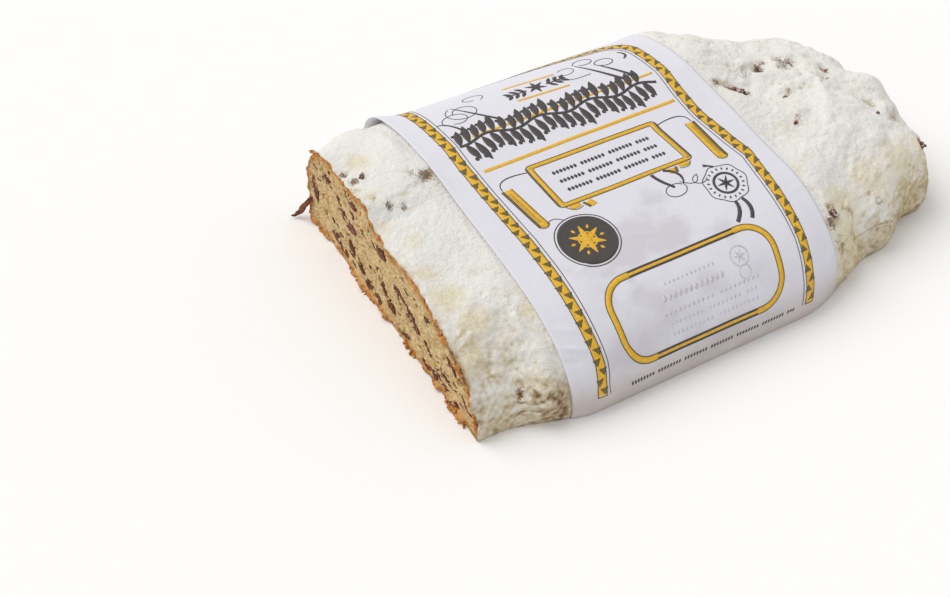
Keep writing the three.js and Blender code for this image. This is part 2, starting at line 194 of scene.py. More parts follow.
def linear(red, green, blue):
    """A colour given in the 0 to 255 steps of a paint card, as the linear numbers that shaders use."""
    steps = np.array([red, green, blue]) / 255
    return tuple(float(c) for c in np.where(steps > 0.04045, ((steps + 0.055) / 1.055) ** 2.4, steps / 12.92))


# ---------------------------------------------------------------- numbers


def mix(a, b, share):
    """From a at a share of nought to b at a share of one."""
    return a + (b - a) * share


def rise(x, start, end):
    """Nought before start, one after end, and 3t² - 2t³ between them."""
    t = np.clip((x - start) / (end - start), 0, 1)
    return t * t * (3 - 2 * t)


def corner_numbers(i, j, k, seed):
    """A fixed number from -1 to 1 for each whole-number corner, from its places multiplied and folded."""
    with np.errstate(over="ignore"):
        h = (i * 374761393 + j * 668265263 + k * 1442695041 + seed * 974634777) & 0xFFFFFFFF
        h = ((h ^ (h >> 13)) * 1274126177) & 0xFFFFFFFF
        h = ((h ^ (h >> 15)) * 2246822519) & 0xFFFFFFFF
    return ((h ^ (h >> 16)) & 0xFFFF) / 32767.5 - 1


def cloud(x, y, z, size, seed):
    """Smooth noise from -1 to 1: the numbers at the eight corners round a point, blended by 3t² - 2t³."""
    x, y, z = np.broadcast_arrays(x / size, y / size, z / size)
    i, j, k = (np.floor(a).astype(np.int64) for a in (x, y, z))
    u, v, w = (t * t * (3 - 2 * t) for t in (x - i, y - j, z - k))
    total = 0.0
    for a in (0, 1):
        for b in (0, 1):
            for c in (0, 1):
                weight = (u if a else 1 - u) * (v if b else 1 - v) * (w if c else 1 - w)
                total = total + weight * corner_numbers(i + a, j + b, k + c, seed)
    return total


def clouds(x, y, z, size, seed, layers):
    """Layers of smooth noise, each half the size and half the strength of the one before."""
    return sum(cloud(x, y, z, size / 2**n, seed + n) / 2**n for n in range(layers))


def pits(x, y, cell, radius, seed):
    """Round hollows, one at a random place in each square cell: one less the squared distance in radii."""
    i, j = np.floor(x / cell).astype(np.int64), np.floor(y / cell).astype(np.int64)
    deepest = np.zeros(np.broadcast(x, y).shape)
    for a in (-1, 0, 1):
        for b in (-1, 0, 1):
            px = (i + a + 0.5 + 0.45 * corner_numbers(i + a, j + b, 1, seed)) * cell
            py = (j + b + 0.5 + 0.45 * corner_numbers(i + a, j + b, 2, seed)) * cell
            size = radius * (0.55 + 0.45 * corner_numbers(i + a, j + b, 3, seed))
            reach = ((x - px) ** 2 + (y - py) ** 2) / np.maximum(size, 0.05) ** 2
            deepest = np.maximum(deepest, 1 - reach)
    return deepest


# ---------------------------------------------------------------- the loaf's form


def end_taper(x, start, power):
    """One until start, then the side of a superellipse of that power, down to nothing at the tip."""
    t = np.clip((x - start) / (LOAF_LENGTH - start), 0, 1)
    return (1 - t**power) ** (1 / power)


def near_cut(x):
    """One at the cut, nothing from the swollen part of the loaf onwards."""
    return 1 - rise(x, *SWELL)


def half_width(x, side):
    """Half of the loaf's width, on the front for a negative side and on the back for a positive one."""
    front = mix(FRONT_HALF_WIDTH, FAR_FRONT_HALF_WIDTH, rise(x, *FRONT_NARROWING))
    back = mix(BACK_HALF_WIDTH, FAR_BACK_HALF_WIDTH, rise(x, *BACK_NARROWING))
    return mix(np.where(side < 0, front, back), CUT_HALF_WIDTH, near_cut(x)) * end_taper(x, *WIDTH_TAPER)


def arch(distance, power):
    """A superellipse arch: one at its centre and nothing at a distance of one."""
    return np.maximum(0, 1 - np.minimum(1, np.abs(distance)) ** power) ** (1 / power)


def crown_height(x, side):
    """The broad front lobe and the folded ridge behind it, blended by adding their 14th powers."""
    cut = near_cut(x)
    lobe_span = np.where(side < LOBE_CENTRE, 1 + LOBE_CENTRE, 1 - LOBE_CENTRE)
    lobe = LOBE_HEIGHT * arch((side - LOBE_CENTRE) / lobe_span, mix(*LOBE_POWERS, cut))
    ridge_span = np.where(side < RIDGE_CENTRE, RIDGE_FRONT_SPAN, 1 - RIDGE_CENTRE)
    ridge_top = mix(*RIDGE_HEIGHTS, cut) - FAR_RIDGE_DROP * rise(x, *RIDGE_FALL)
    ridge = ridge_top * arch((side - RIDGE_CENTRE) / ridge_span, mix(*RIDGE_POWERS, cut))
    return (lobe**BLEND_POWER + ridge**BLEND_POWER) ** (1 / BLEND_POWER) * end_taper(x, *HEIGHT_TAPER)


def smooth_form(x, crown_points, base_points):
    """Closed outlines of the loaf at the places x: over the crown from the front foot, then back underneath.

    The side place is minus the cosine of an even turn, so points crowd at the steep feet."""
    x = np.asarray(x, float)[:, None]
    side = -np.cos(np.pi * np.arange(crown_points + 1) / crown_points)[None, :]
    width = half_width(x, side)
    height = crown_height(x, side)
    lift = NOSE_HEIGHT * np.maximum(0, (x - BASE_END) / (LOAF_LENGTH - BASE_END)) ** 2
    tuck = TUCK * np.maximum(0, 1 - height / TUCK_HEIGHT) ** 2 * np.minimum(1, width / TUCK_WIDTH_LIMIT)
    y = side * width - np.sign(side) * tuck
    z = np.maximum(height, lift)
    share = np.arange(1, base_points + 1)[None, :] / (base_points + 1)
    y = np.concatenate([y, mix(y[:, -1:], y[:, :1], share)], axis=1)
    z = np.concatenate([z, lift + 0 * share], axis=1)
    return np.stack(np.broadcast_arrays(x, y, z), axis=-1)


def bridge_dip(form, crown_points, share):
    """The outlines with the dip by the ridge filled up to a straight chord, by a share of its depth.

    The chord is the one that passes highest over the dip, among every sixth point of the crown."""
    crown = form[:, : crown_points + 1]
    y, z = crown[:, ::6, 1], crown[:, ::6, 2]
    dip = half_width(crown[:, :1, 0], 1)[..., None] * (RIDGE_CENTRE - RIDGE_FRONT_SPAN)
    start_y, end_y = y[:, :, None], y[:, None, :]
    slope = (z[:, None, :] - z[:, :, None]) / np.maximum(end_y - start_y, 1e-9)
    over = np.where((start_y < dip) & (end_y > dip), z[:, :, None] + slope * (dip - start_y), -1.0)
    start, end = np.unravel_index(over.reshape(len(form), -1).argmax(axis=1), over.shape[1:])
    row = np.arange(len(form))
    from_y, to_y = y[row, start][:, None], y[row, end][:, None]
    chord = z[row, start][:, None] + slope[row, start, end][:, None] * (crown[..., 1] - from_y)
    within = (crown[..., 1] > from_y) & (crown[..., 1] < to_y)
    bridged = form.copy()
    bridged[:, : crown_points + 1, 2] += share * np.where(within, np.maximum(chord - crown[..., 2], 0), 0)
    return bridged


def grid_normals(grid, wrapped=True):
    """The unit normal at each point of a grid: the row step crossed with the column step."""
    down = np.gradient(grid, axis=0)
    across = (np.roll(grid, -1, 1) - np.roll(grid, 1, 1)) if wrapped else np.gradient(grid, axis=1)
    normal = np.cross(down, across)
    return normal / np.maximum(np.linalg.norm(normal, axis=-1, keepdims=True), 1e-9)


def under_band(x):
    """One under the paper band and nothing on the open crust."""
    return rise(x, BAND_START - BAND_SHOULDER, BAND_START) * (1 - rise(x, BAND_END, BAND_END + BAND_SHOULDER))


def knife_skew(points):
    """The knife left the cut a little off square: points near it move along the loaf in step with their y."""
    moved = points.copy()
    moved[..., 0] += CUT_SKEW * points[..., 1] * np.maximum(0, 1 - points[..., 0] / CUT_SKEW_REACH)
    return moved


# ---------------------------------------------------------------- meshes


def grid_faces(rows, columns, wrapped=False, first=0):
    """Quads between neighbouring rows and columns of a grid, whose last column may join the first."""
    i = np.arange(rows - 1)[:, None]
    j = np.arange(columns if wrapped else columns - 1)[None, :]
    here, beside = i * columns + j, i * columns + (j + 1) % columns
    return np.stack([here, here + columns, beside + columns, beside], axis=-1).reshape(-1, 4) + first


def fan_faces(ring, centre, backwards=False):
    """Triangles from each side of a ring to one centre point, kept as quads with a doubled corner."""
    beside = np.roll(ring, -1)
    first, second = (beside, ring) if backwards else (ring, beside)
    middle = np.full_like(ring, centre)
    return np.stack([middle, first, second, second], axis=-1)


def capped_faces(rows, columns, first_end, last_end, reversed_sides=False):
    """Faces of a grid wrapped into a tube, with a fan to an end point at each end."""
    sides = grid_faces(rows, columns, wrapped=True)
    last = (rows - 1) * columns + np.arange(columns)
    return np.concatenate([
        sides[:, ::-1] if reversed_sides else sides,
        fan_faces(np.arange(columns), first_end, backwards=reversed_sides),
        fan_faces(last, last_end, backwards=not reversed_sides),
    ])


def mesh_piece(name, points, faces, material, attributes=None):
    """A mesh object with its place in its mesh: points in millimetres, faces as quads.

    A quad whose last two corners are the same point becomes a triangle."""
    faces = np.asarray(faces, np.int64)
    sides = np.where(faces[:, 2] == faces[:, 3], 3, 4)
    corners = faces[np.arange(4)[None, :] < sides[:, None]]
    mesh = bpy.data.meshes.new(name)
    mesh.vertices.add(len(points))
    mesh.vertices.foreach_set("co", ((np.asarray(points) + ORIGIN) * MM).astype(np.float32).ravel())
    mesh.loops.add(len(corners))
    mesh.loops.foreach_set("vertex_index", corners.astype(np.int32))
    mesh.polygons.add(len(faces))
    mesh.polygons.foreach_set("loop_start", np.concatenate([[0], np.cumsum(sides)[:-1]]).astype(np.int32))
    mesh.polygons.foreach_set("use_smooth", np.full(len(faces), True))
    mesh.update(calc_edges=True)
    for label, values in (attributes or {}).items():
        layer = mesh.attributes.new(label, "FLOAT", "POINT")
        layer.data.foreach_set("value", np.asarray(values, np.float32).ravel())
    mesh.materials.append(material)
    piece = bpy.data.objects.new(name, mesh)
    bpy.context.scene.collection.objects.link(piece)
    return piece


def cut_mesh_piece(name, points, faces, material, attributes=None):
    """A mesh object for things in the cut, whose points still lie square and are skewed with it."""
    return mesh_piece(name, knife_skew(points).reshape(-1, 3), faces, material, attributes)


def seat(piece, slot, *nodes):
    """The piece rides on the loaf and stands for the named solids, which are hidden. The slot is not used."""
    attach(piece, "root")
    if nodes:
        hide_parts(*nodes)
    return piece


# ---------------------------------------------------------------- the crust


def patches(x, y, table, column):
    """The strongest of a table's patches at each point: strength times e to minus the squared distance."""
    strongest = np.zeros(np.shape(x))
    for patch in table:
        reach = np.hypot(x - patch[0], y - patch[1]) / patch[2]
        strongest = np.maximum(strongest, patch[column] * np.exp(-(reach**2)))
    return strongest


def crust_relief(x, y, z, strength):
    """How far the crust stands out: the solid's waves and bulges, then lumps, cracks, pits and the groove.

    Returns the height in millimetres and how bare of sugar the low places are, from 0 to 1."""
    sway = 1.2 * np.sin(y / 21)
    waves = np.sin(x / 9 + sway) * np.sin(y / 11 + 0.8) + 0.5 * np.sin(x / 5 + y / 7)
    height = WAVE_HEIGHT * waves
    for bx, by, radius, bulge in BULGES + DENTS:
        height = height + bulge * np.exp(-2 * ((x - bx) ** 2 + (y - by) ** 2) / radius**2)
    far = rise(x, 180, 215)
    lumps = clouds(x, y, z, 15, 11, 3)
    knobs = clouds(x, y, z, 6.5, 23, 2)
    clumps = clouds(x, y, z, 2.4, 37, 3)
    vein = np.abs(clouds(x, y, 2 * z, 21, 51, 3))
    crack = np.exp(-((vein / 0.04) ** 2)) * rise(cloud(x, y, z, 26, 67), 0.0, 0.6)
    front = rise(-y, 25, 60) * (1 - rise(x, *FRONT_SPAN))
    fluffy = clouds(x, y, z, 3.6, 89, 3)
    hollow = pits(x + 0.8 * knobs, y + 0.8 * lumps, 8.5, 1.7, 71) * rise(cloud(x, y, z, 17, 83), 0.15, 0.6)
    groove_y = np.interp(x, *GROOVE) + 1.6 * cloud(x, 0 * y, 0 * z, 7, 75)
    groove = np.exp(-(((y - groove_y) / GROOVE_WIDTH) ** 2)) * (1 - rise(x, 238, 252))
    groove = groove * (0.6 + 0.4 * cloud(x, y, z, 5, 77))
    stained = patches(x, y, STAINS, 4)
    height = height + strength * (
        mix(*LUMP_HEIGHTS, far) * lumps + mix(*KNOB_HEIGHTS, far) * knobs + mix(*CLUMP_HEIGHTS, far) * clumps
        + front * (FLUFF_HEIGHT * fluffy + FRONT_KNOB_HEIGHT * knobs)
        - mix(*CRACK_DEPTHS, far) * crack - mix(*HOLLOW_DEPTHS, far) * hollow
        - mix(*GROOVE_DEPTHS, far) * groove
        + stained * (1.7 * clouds(x, y, z, 2.6, 79, 2) - 0.7)
    )
    bare = np.clip(0.3 * crack + mix(0.4, 0.6, far) * hollow + 0.28 * groove * (1 + clumps)
                   + 0.3 * front * np.maximum(-fluffy - 0.2, 0), 0, 1)
    return height, bare


def bridged_by(place):
    """How much higher the crust lies at a place than the solid's smooth form, where its dip is filled."""
    outline = smooth_form([place[0]], CROWN_POINTS, 0)
    filled = bridge_dip(outline, CROWN_POINTS, fill_share(outline[:, :1, 0]))
    nearest = np.abs(outline[0, :, 1] - place[1]).argmin()
    return filled[0, nearest, 2] - outline[0, nearest, 2]


def fill_share(x):
    """How much of the dip by the ridge is filled: none at the cut, and most of it from the band on."""
    return 0.8 * rise(x, 4, 34)


def crust_surface(strength):
    """The whole crust: the smooth form moved out along its normals, and drawn in under the paper."""
    turns = np.linspace(0, np.pi / 2, FAR_STATIONS + 1)[1:-1]
    stations = np.concatenate([
        np.linspace(0, BAND_START, CUT_STATIONS),
        np.linspace(BAND_START, BAND_END, HIDDEN_STATIONS)[1:],
        mix(BAND_END, LOAF_LENGTH, np.sin(turns)),
    ])
    form = smooth_form(stations, CROWN_POINTS, BASE_POINTS)
    form = bridge_dip(form, CROWN_POINTS, fill_share(stations)[:, None])
    front_side = rise(-form[..., 1], 36, 78)
    for place, reach, depth in SIDE_PINCHES:
        form[..., 1] += depth * front_side * np.exp(-(((form[..., 0] - place) / reach) ** 2))
    normals = grid_normals(form)
    x, y, z = form[..., 0], form[..., 1], form[..., 2]
    hidden = under_band(x)
    taper = end_taper(x, *HEIGHT_TAPER) ** 0.6
    on_crown = rise(z, 1, 10) * (np.arange(form.shape[1]) <= CROWN_POINTS)
    height, bare = crust_relief(x, y, z, strength)
    height = height * on_crown * taper * (1 - hidden)
    for node, share in zip(CRUST_RAISINS, CRUST_RAISIN_SHARES):
        middle, axes, spans = raisin_fit(node)
        offset = (form - middle - [0, 0, bridged_by(middle)]) / share
        reach = np.sqrt((offset @ axes[0] / spans[0]) ** 2 + (offset @ axes[1] / spans[1]) ** 2)
        near = np.linalg.norm(offset, axis=-1) < 2.2 * spans[0]
        broken = 0.5 + 0.5 * cloud(x, y, z, 2.2, 85)
        height = height + near * broken * (0.8 * np.exp(-(((reach - 1.1) / 0.3) ** 2)))
        bare = np.maximum(bare, near * 0.4 * np.exp(-((reach / 1.1) ** 4)))
    grid = form + normals * (height - PAPER_ROOM * hidden)[..., None]
    grid[..., 2] = np.maximum(grid[..., 2], 0)
    ragged = np.exp(-x / 1.5) * on_crown
    grid[..., 0] += 0.9 * ragged * clouds(0 * y, y, z, 3.2, 91, 2)
    return knife_skew(grid), bare


def sugar_cover(grid, bare):
    """How thickly each point is sugared, from 0 to 1: most on the tops, less on steep sides, by the cut, at
    the foot and in the hollows and stains, and broken up by noise at three sizes."""
    x, y, z = grid[..., 0], grid[..., 1], grid[..., 2]
    up = grid_normals(grid)[..., 2]
    far = rise(x, 185, 240)
    cover = SIDE_COVER + TOP_COVER * rise(up, 0.05, 0.8)
    cover = cover - FOOT_LOSS * (1 - rise(z, 2, 22)) - FAR_SIDE_LOSS * far * (1 - rise(up, 0.3, 0.9))
    cover = cover - CUT_EDGE_LOSS * np.exp(-x / 1.8) * rise(z, 14, 28) * (1 + 0.8 * cloud(x, y, z, 7, 99))
    cover = cover - FRONT_LOSS * rise(-y, 30, 75) * (1 - rise(x, *FRONT_SPAN)) * rise(z, 3, 18)
    rough = mix(1, 1.5, 1 - rise(up, 0.2, 0.8))
    cover = cover + 0.07 * clouds(x, y, z, 15, 101, 2) + 0.05 * rough * cloud(x, y, z, 4.2, 103)
    cover = cover + 0.15 * rough * cloud(x, y, z, 1.6, 105)
    speckle = rise(cloud(x, y, z, 1.3, 107) + 0.6 * cloud(x, y, z, 2.7, 109), -0.35, 0.55)
    return np.clip(cover - BARE_LOSS * patches(x, y, STAINS, 3) * speckle - BARE_LOSS * bare, 0, 1)


def inset_ring(ring, distance):
    """A closed outline in the plane across the loaf, moved in by a distance along its own normals."""
    step = np.roll(ring, -1, 0) - np.roll(ring, 1, 0)
    inward = np.stack([step[:, 2], -step[:, 1]], axis=-1)
    moved = ring.copy()
    moved[:, 1:] += distance * inward / np.maximum(np.linalg.norm(inward, axis=-1, keepdims=True), 1e-9)
    return moved


def crust_piece(sizes, colours):
    """The crust as one closed skin: its outside, a pocket behind the cut for the crumb, and the tip."""
    grid, bare = crust_surface(sizes.relief)
    cover = sugar_cover(grid, bare)
    rows, columns = grid.shape[:2]
    lip = inset_ring(grid[0], sizes.sugar_edge / MM)
    floor = lip.copy()
    floor[:, 0] += sizes.crumb_depth / MM
    points = np.concatenate([floor, lip, grid.reshape(-1, 3)])
    tip = knife_skew(np.array([LOAF_LENGTH, 0, NOSE_HEIGHT]))
    points = np.concatenate([points, floor.mean(axis=0)[None], tip[None]])
    faces = capped_faces(rows + 2, columns, len(points) - 2, len(points) - 1)
    x, y = grid[..., 0], grid[..., 1]
    inner = np.full(2 * columns, 0.3)
    attributes = {
        "sugar": np.concatenate([inner, cover.ravel(), [0.3, cover[-1].mean()]]),
        "speckled": np.concatenate([0 * inner, patches(x, y, STAINS, 4).ravel(), [0, 0]]),
        "butter": np.concatenate([inner, patches(x, y, BUTTER, 3).ravel(), [0, 0]]),
    }
    piece = mesh_piece("crust", points, faces, sugar_material(colours), attributes)
    return seat(piece, "sugared_crust", "loaf"), lip


# ---------------------------------------------------------------- the crumb


def split_ring(ring):
    """The upper and lower sides of a closed outline, each from its front-most to its back-most point."""
    front, back = int(ring[:, 1].argmin()), int(ring[:, 1].argmax())
    upper = ring[front : back + 1]
    lower = np.concatenate([ring[front::-1], ring[:back - 1 : -1]])
    return (np.stack([np.maximum.accumulate(side[:, 1]), side[:, 2]]) for side in (upper, lower))


def raisin_fit(node):
    """A raisin's middle, its three axes and its half lengths along them, from its solid's own points."""
    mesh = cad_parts[node].data
    points = np.empty(len(mesh.vertices) * 3)
    mesh.vertices.foreach_get("co", points)
    points = np.unique(points.reshape(-1, 3).round(6), axis=0) / MM - ORIGIN
    if node in CUT_RAISINS:
        _, flat_axes = np.linalg.eigh(np.cov(points[:, 1:].T))
        axes = np.zeros((3, 3))
        axes[0, 1:], axes[1, 1:], axes[2, 0] = flat_axes[:, 1], flat_axes[:, 0], 1.0
    else:
        _, turned = np.linalg.eigh(np.cov(points.T))
        axes = turned.T[::-1]
    along = points @ axes.T
    low, high = along.min(axis=0), along.max(axis=0)
    if node in CUT_RAISINS:
        low[2] = 2 * CUT_RAISIN_CENTRE - high[2]
    return (low + high) / 2 @ axes, axes, (high - low) / 2


def crumb_relief(y, z, edge, sizes):
    """How deep each point of the crumb's face lies, how baked it is, and how far it is in the pores, which sets
    the painted shade there. The depth has pores of two sizes, torn layers, a dent round each raisin, and brown
    nubs standing out near the baked edge."""
    level = 0 * y
    edge = np.maximum(edge, 0) + 0.8 * cloud(y, z, level, 5.0, 203) * np.minimum(1, edge)
    baked = np.exp(-((np.maximum(edge, 0) / (sizes.baked_edge / MM)) ** 1.6))
    wander_y, wander_z = 0.9 * cloud(y, z, level, 3.0, 205), 0.9 * cloud(y, z, level, 3.0, 207)
    fine = np.maximum(pits(y + wander_y, (z + wander_z) * 1.4, PORE_CELLS[0], PORE_RADII[0], 211), 0)
    wide = np.maximum(pits((y + wander_y) * 0.7, (z + wander_z) * 2.1, PORE_CELLS[1], PORE_RADII[1], 213), 0)
    tear = clouds(y, z, level, 4.5, 217, 3)
    depth = FINE_PORE_DEPTH * fine + WIDE_PORE_DEPTH * wide * (1 - baked) + TEAR_DEPTH * tear
    depth = depth + SPECK_DEPTH * cloud(y, z, level, 0.9, 219)
    for node in CUT_RAISINS:
        middle, axes, spans = raisin_fit(node)
        offset = np.stack([level, y - middle[1], z - middle[2]], axis=-1)
        reach = np.sqrt((offset @ axes[0] / spans[0]) ** 2 + (offset @ axes[1] / spans[1]) ** 2)
        depth = depth + RAISIN_DENT_DEPTH * np.exp(-(((reach - 1.0) / 0.2) ** 2))
    nubs = np.maximum(0, clouds(y, z, level, 2.6, 223, 2)) * baked
    depth = depth - sizes.rim_nubs / MM * nubs * rise(z, 0.3, 2)
    # the third value: how far each point lies in the pores, the mask of painted shade there
    return depth, baked, np.clip(0.75 * fine + wide, 0, 1)


def crumb_piece(ring, sizes, colours):
    """The crumb as a closed slab in the crust's pocket. Its face is a grid between the lower and upper sides
    of the outline, and stands out in torn places along the base."""
    (upper_y, upper_z), (lower_y, lower_z) = split_ring(inset_ring(ring, 0.1))
    low_y, high_y = upper_y[0] + 0.12, upper_y[-1] - 0.12
    y = np.linspace(low_y, high_y, CRUMB_COLUMNS)[:, None]
    top, bottom = np.interp(y, upper_y, upper_z), np.interp(y, lower_y, lower_z)
    top = np.maximum(top, bottom + 0.3)
    z = mix(bottom, top, np.linspace(0, 1, CRUMB_ROWS)[None, :])
    y = y + 0 * z
    edge = np.minimum(np.minimum(top - z, 1.3 * (z - bottom)), np.minimum(y - low_y, high_y - y))
    depth, baked, pore_shade = crumb_relief(y, z, edge, sizes)
    torn = np.maximum(0, cloud(y, 0 * y, 0 * y, 7.0, 231) + 0.5 * cloud(y, z, 0 * y, 2.3, 233) - 0.05)
    depth = depth - TORN_BASE_REACH * torn * np.exp(-((z - bottom) / 2.0) ** 2)
    face = np.stack([depth, y, z], axis=-1)
    back_depth = np.full_like(y[:, :2], sizes.crumb_depth / MM - 0.1)
    behind = np.stack([back_depth, y[:, :2], np.hstack([top, bottom])], axis=-1)
    grid = knife_skew(np.concatenate([face, behind], axis=1))
    rows, columns = grid.shape[:2]
    points = np.concatenate([grid.reshape(-1, 3), grid[[0, -1]].mean(axis=1)])
    faces = capped_faces(rows, columns, len(points) - 2, len(points) - 1, reversed_sides=True)
    pad = np.zeros((rows, 2))
    attributes = {
        "baked": np.concatenate([np.hstack([baked, pad + 1]).ravel(), [1, 1]]),
        # painted shade: darker where a point lies deep in the pores
        "pore_shade": np.concatenate([np.hstack([pore_shade, pad]).ravel(), [0, 0]]),
    }
    return seat(mesh_piece("crumb", points, faces, crumb_material(colours), attributes), "crumb")


# ---------------------------------------------------------------- raisins, peel and crumbs


def ball(rows, columns):
    """Points of a unit ball, as rings of a turn and two poles, with their faces."""
    up = np.pi * np.arange(1, rows) / rows
    turn = 2 * np.pi * np.arange(columns) / columns
    grid = np.stack(np.broadcast_arrays(
        np.sin(up)[:, None] * np.cos(turn), np.sin(up)[:, None] * np.sin(turn), np.cos(up)[:, None]), axis=-1)
    points = np.concatenate([grid.reshape(-1, 3), [[0, 0, 1], [0, 0, -1]]])
    return points, capped_faces(rows - 1, columns, len(points) - 2, len(points) - 1)


def wrinkled_balls(middles, axes, spans, rows, columns, wrinkle, seed):
    """Balls stretched along their axes, drawn in along creases where a noise of their own crosses nought."""
    directions, faces = ball(rows, columns)
    count = len(middles)
    own = seed + 17.0 * np.arange(count)[:, None]
    dx, dy, dz = (directions[None, :, axis] for axis in range(3))
    crease = np.abs(cloud(1.9 * dx + own, 1.9 * dy, 1.9 * dz, 1.0, seed))
    crease = crease + 0.5 * np.abs(cloud(4.1 * dx + own, 4.1 * dy, 4.1 * dz, 1.0, seed + 1))
    radius = 1 + wrinkle * (crease - 0.45) + 0.1 * cloud(dx + own, dy, dz, 1.0, seed + 2)
    local = directions[None] * radius[..., None] * np.asarray(spans)[:, None, :]
    points = np.einsum("nkc,ncd->nkd", local, np.asarray(axes)) + np.asarray(middles)[:, None, :]
    joined = faces[None] + (np.arange(count) * len(directions))[:, None, None]
    return points, joined.reshape(-1, 4), crease


def raisin_fits(nodes):
    """The middles, axes and half lengths of several raisins, each as one array."""
    return (np.array(part) for part in zip(*(raisin_fit(node) for node in nodes)))


def places_in_cut(random, ring, count, half_span, shares):
    """Random places in the cut, across it and at a share of the height there."""
    (upper_y, upper_z), _ = split_ring(ring)
    y = random.uniform(-half_span, half_span, count)
    return y, random.uniform(*shares, count) * np.interp(y, upper_y, upper_z)


def cut_raisins_piece(sizes, colours):
    """The raisins in the cut, flattened where the knife went through them."""
    random = np.random.default_rng(300)
    middles, axes, spans = raisin_fits(CUT_RAISINS)
    spans = spans * random.uniform((0.95, 0.55, 0.9), (1.25, 0.9, 1.0), spans.shape)
    middles = middles + random.uniform(-0.8, 0.8, middles.shape) * [0, 1, 0.6]
    points, faces, crease = wrinkled_balls(middles, axes, spans, 20, 30, sizes.raisin_wrinkle, 301)
    sag = 0.22 * spans[:, 1] * random.choice([-1, 1], len(spans))
    along = np.einsum("nkd,nd->nk", points - middles[:, None], axes[:, 0]) / spans[:, :1]
    points += (sag[:, None] * (along**2 - 0.4))[..., None] * axes[:, None, 1]
    buried = 0.5 * clouds(0 * points[..., 0], points[..., 1], points[..., 2], 2.6, 303, 2)
    points[..., 0] = np.maximum(points[..., 0], -0.25 + 0.4 * crease + np.maximum(buried, -0.15))
    piece = cut_mesh_piece("raisins_cut", points, faces, raisin_material(colours, 0.0))
    return seat(piece, "raisin", *CUT_RAISINS)


def slivers_piece(ring, colours):
    """Thin slices of small raisins between the layers of the crumb, mostly lying flat along it."""
    random = np.random.default_rng(311)
    count = SLIVER_COUNT
    y, z = places_in_cut(random, ring, count, 78, (0.06, 0.88))
    tilt = np.radians(random.normal(8, 22, count))
    nought, one = np.zeros(count), np.ones(count)
    axes = np.stack([
        np.stack([nought, np.cos(tilt), np.sin(tilt)], axis=-1),
        np.stack([nought, -np.sin(tilt), np.cos(tilt)], axis=-1),
        np.stack([one, nought, nought], axis=-1),
    ], axis=1)
    spans = random.uniform((0.8, 0.3, 0.5), (3.2, 0.75, 1.0), (count, 3))
    middles = np.stack([random.uniform(0.0, 0.5, count), y, z], axis=-1)
    points, faces, _ = wrinkled_balls(middles, axes, spans, 8, 14, 0.5, 313)
    points[..., 0] = np.maximum(points[..., 0], -0.15)
    piece = cut_mesh_piece("raisin_slivers", points, faces, raisin_material(colours, 0.0))
    return seat(piece, "raisin")


def crust_raisins_piece(sizes, colours):
    """The raisins that show through the crust: each on the nearest point of the crust, half sunk in it."""
    middles, axes, spans = raisin_fits(CRUST_RAISINS)
    crust, _ = crust_surface(sizes.relief)
    outward = grid_normals(crust).reshape(-1, 3)
    crust = crust.reshape(-1, 3)
    skewed = knife_skew(middles)
    nearest = np.array([np.linalg.norm(crust - middle, axis=1).argmin() for middle in skewed])
    spans = spans * np.array(CRUST_RAISIN_SHARES)[:, None]
    middles = crust[nearest] - outward[nearest] * (0.35 * spans[:, 2:])
    points, faces, _ = wrinkled_balls(middles, axes, spans, 20, 30, 1.4 * sizes.raisin_wrinkle, 331)
    piece = mesh_piece("raisins_crust", points.reshape(-1, 3), faces, raisin_material(colours, 0.55))
    return seat(piece, "raisin", *CRUST_RAISINS)


def curl_piece(colours):
    """The raisin skin pulled out at the back foot: a flat, narrowing strip carried along its route."""
    route = np.array(CURL_ROUTE, float)
    knots = np.linspace(0, 1, len(route))
    steps, sides = 26, 14
    t = np.linspace(0, 1, steps)
    path = np.stack([np.polyval(np.polyfit(knots, route[:, axis], 3), t) for axis in range(3)], axis=-1)
    tangent = np.gradient(path, axis=0)
    tangent /= np.linalg.norm(tangent, axis=1, keepdims=True)
    across = np.cross(tangent, [0, 1, 0.3])
    across /= np.linalg.norm(across, axis=1, keepdims=True)
    flat = np.cross(tangent, across)
    turn = 2 * np.pi * np.arange(sides) / sides
    full = (np.sin(np.pi * np.clip(t * 0.94 + 0.05, 0, 1)) ** 0.4 * mix(1, 0.55, t))[:, None, None]
    ripple = 1 + 0.55 * cloud(9 * t[:, None], np.cos(turn)[None], np.sin(turn)[None], 1.0, 351)[..., None]
    thick, wide = CURL_HALF_SIZES
    round_it = thick * np.cos(turn)[None, :, None] * across[:, None]
    round_it = round_it + wide * np.sin(turn)[None, :, None] * flat[:, None]
    grid = path[:, None] + full * ripple * round_it
    grid[..., 2] = np.maximum(grid[..., 2], 0.3)
    points = np.concatenate([grid.reshape(-1, 3), path[[0, -1]]])
    faces = capped_faces(steps, sides, len(points) - 2, len(points) - 1)
    piece = mesh_piece("raisin_curl_skin", points, faces, raisin_material(colours, 0.0))
    return seat(piece, "raisin", "raisin_curl")


def random_axes(random, count):
    """As many random turns, each as three unit axes, by squaring up random arrows."""
    return np.linalg.qr(random.normal(size=(count, 3, 3)))[0]


def peel_piece(ring, colours):
    """Small cubes of candied peel set in the cut, rounded and glossy, from green to orange."""
    random = np.random.default_rng(401)
    count = PEEL_COUNT
    y, z = places_in_cut(random, ring, count, 76, (0.08, 0.9))
    spans = random.uniform(0.5, 1.15, (count, 3)) * [1, 1.2, 1]
    middles = np.stack([random.uniform(-0.1, 0.35, count), y, z], axis=-1)
    points, faces, _ = wrinkled_balls(middles, random_axes(random, count), spans, 7, 10, 0.25, 403)
    tint = np.repeat(random.uniform(0, 1, count), points.shape[1])
    return seat(cut_mesh_piece("peel_bits", points, faces, peel_material(colours), {"tint": tint}), "peel")


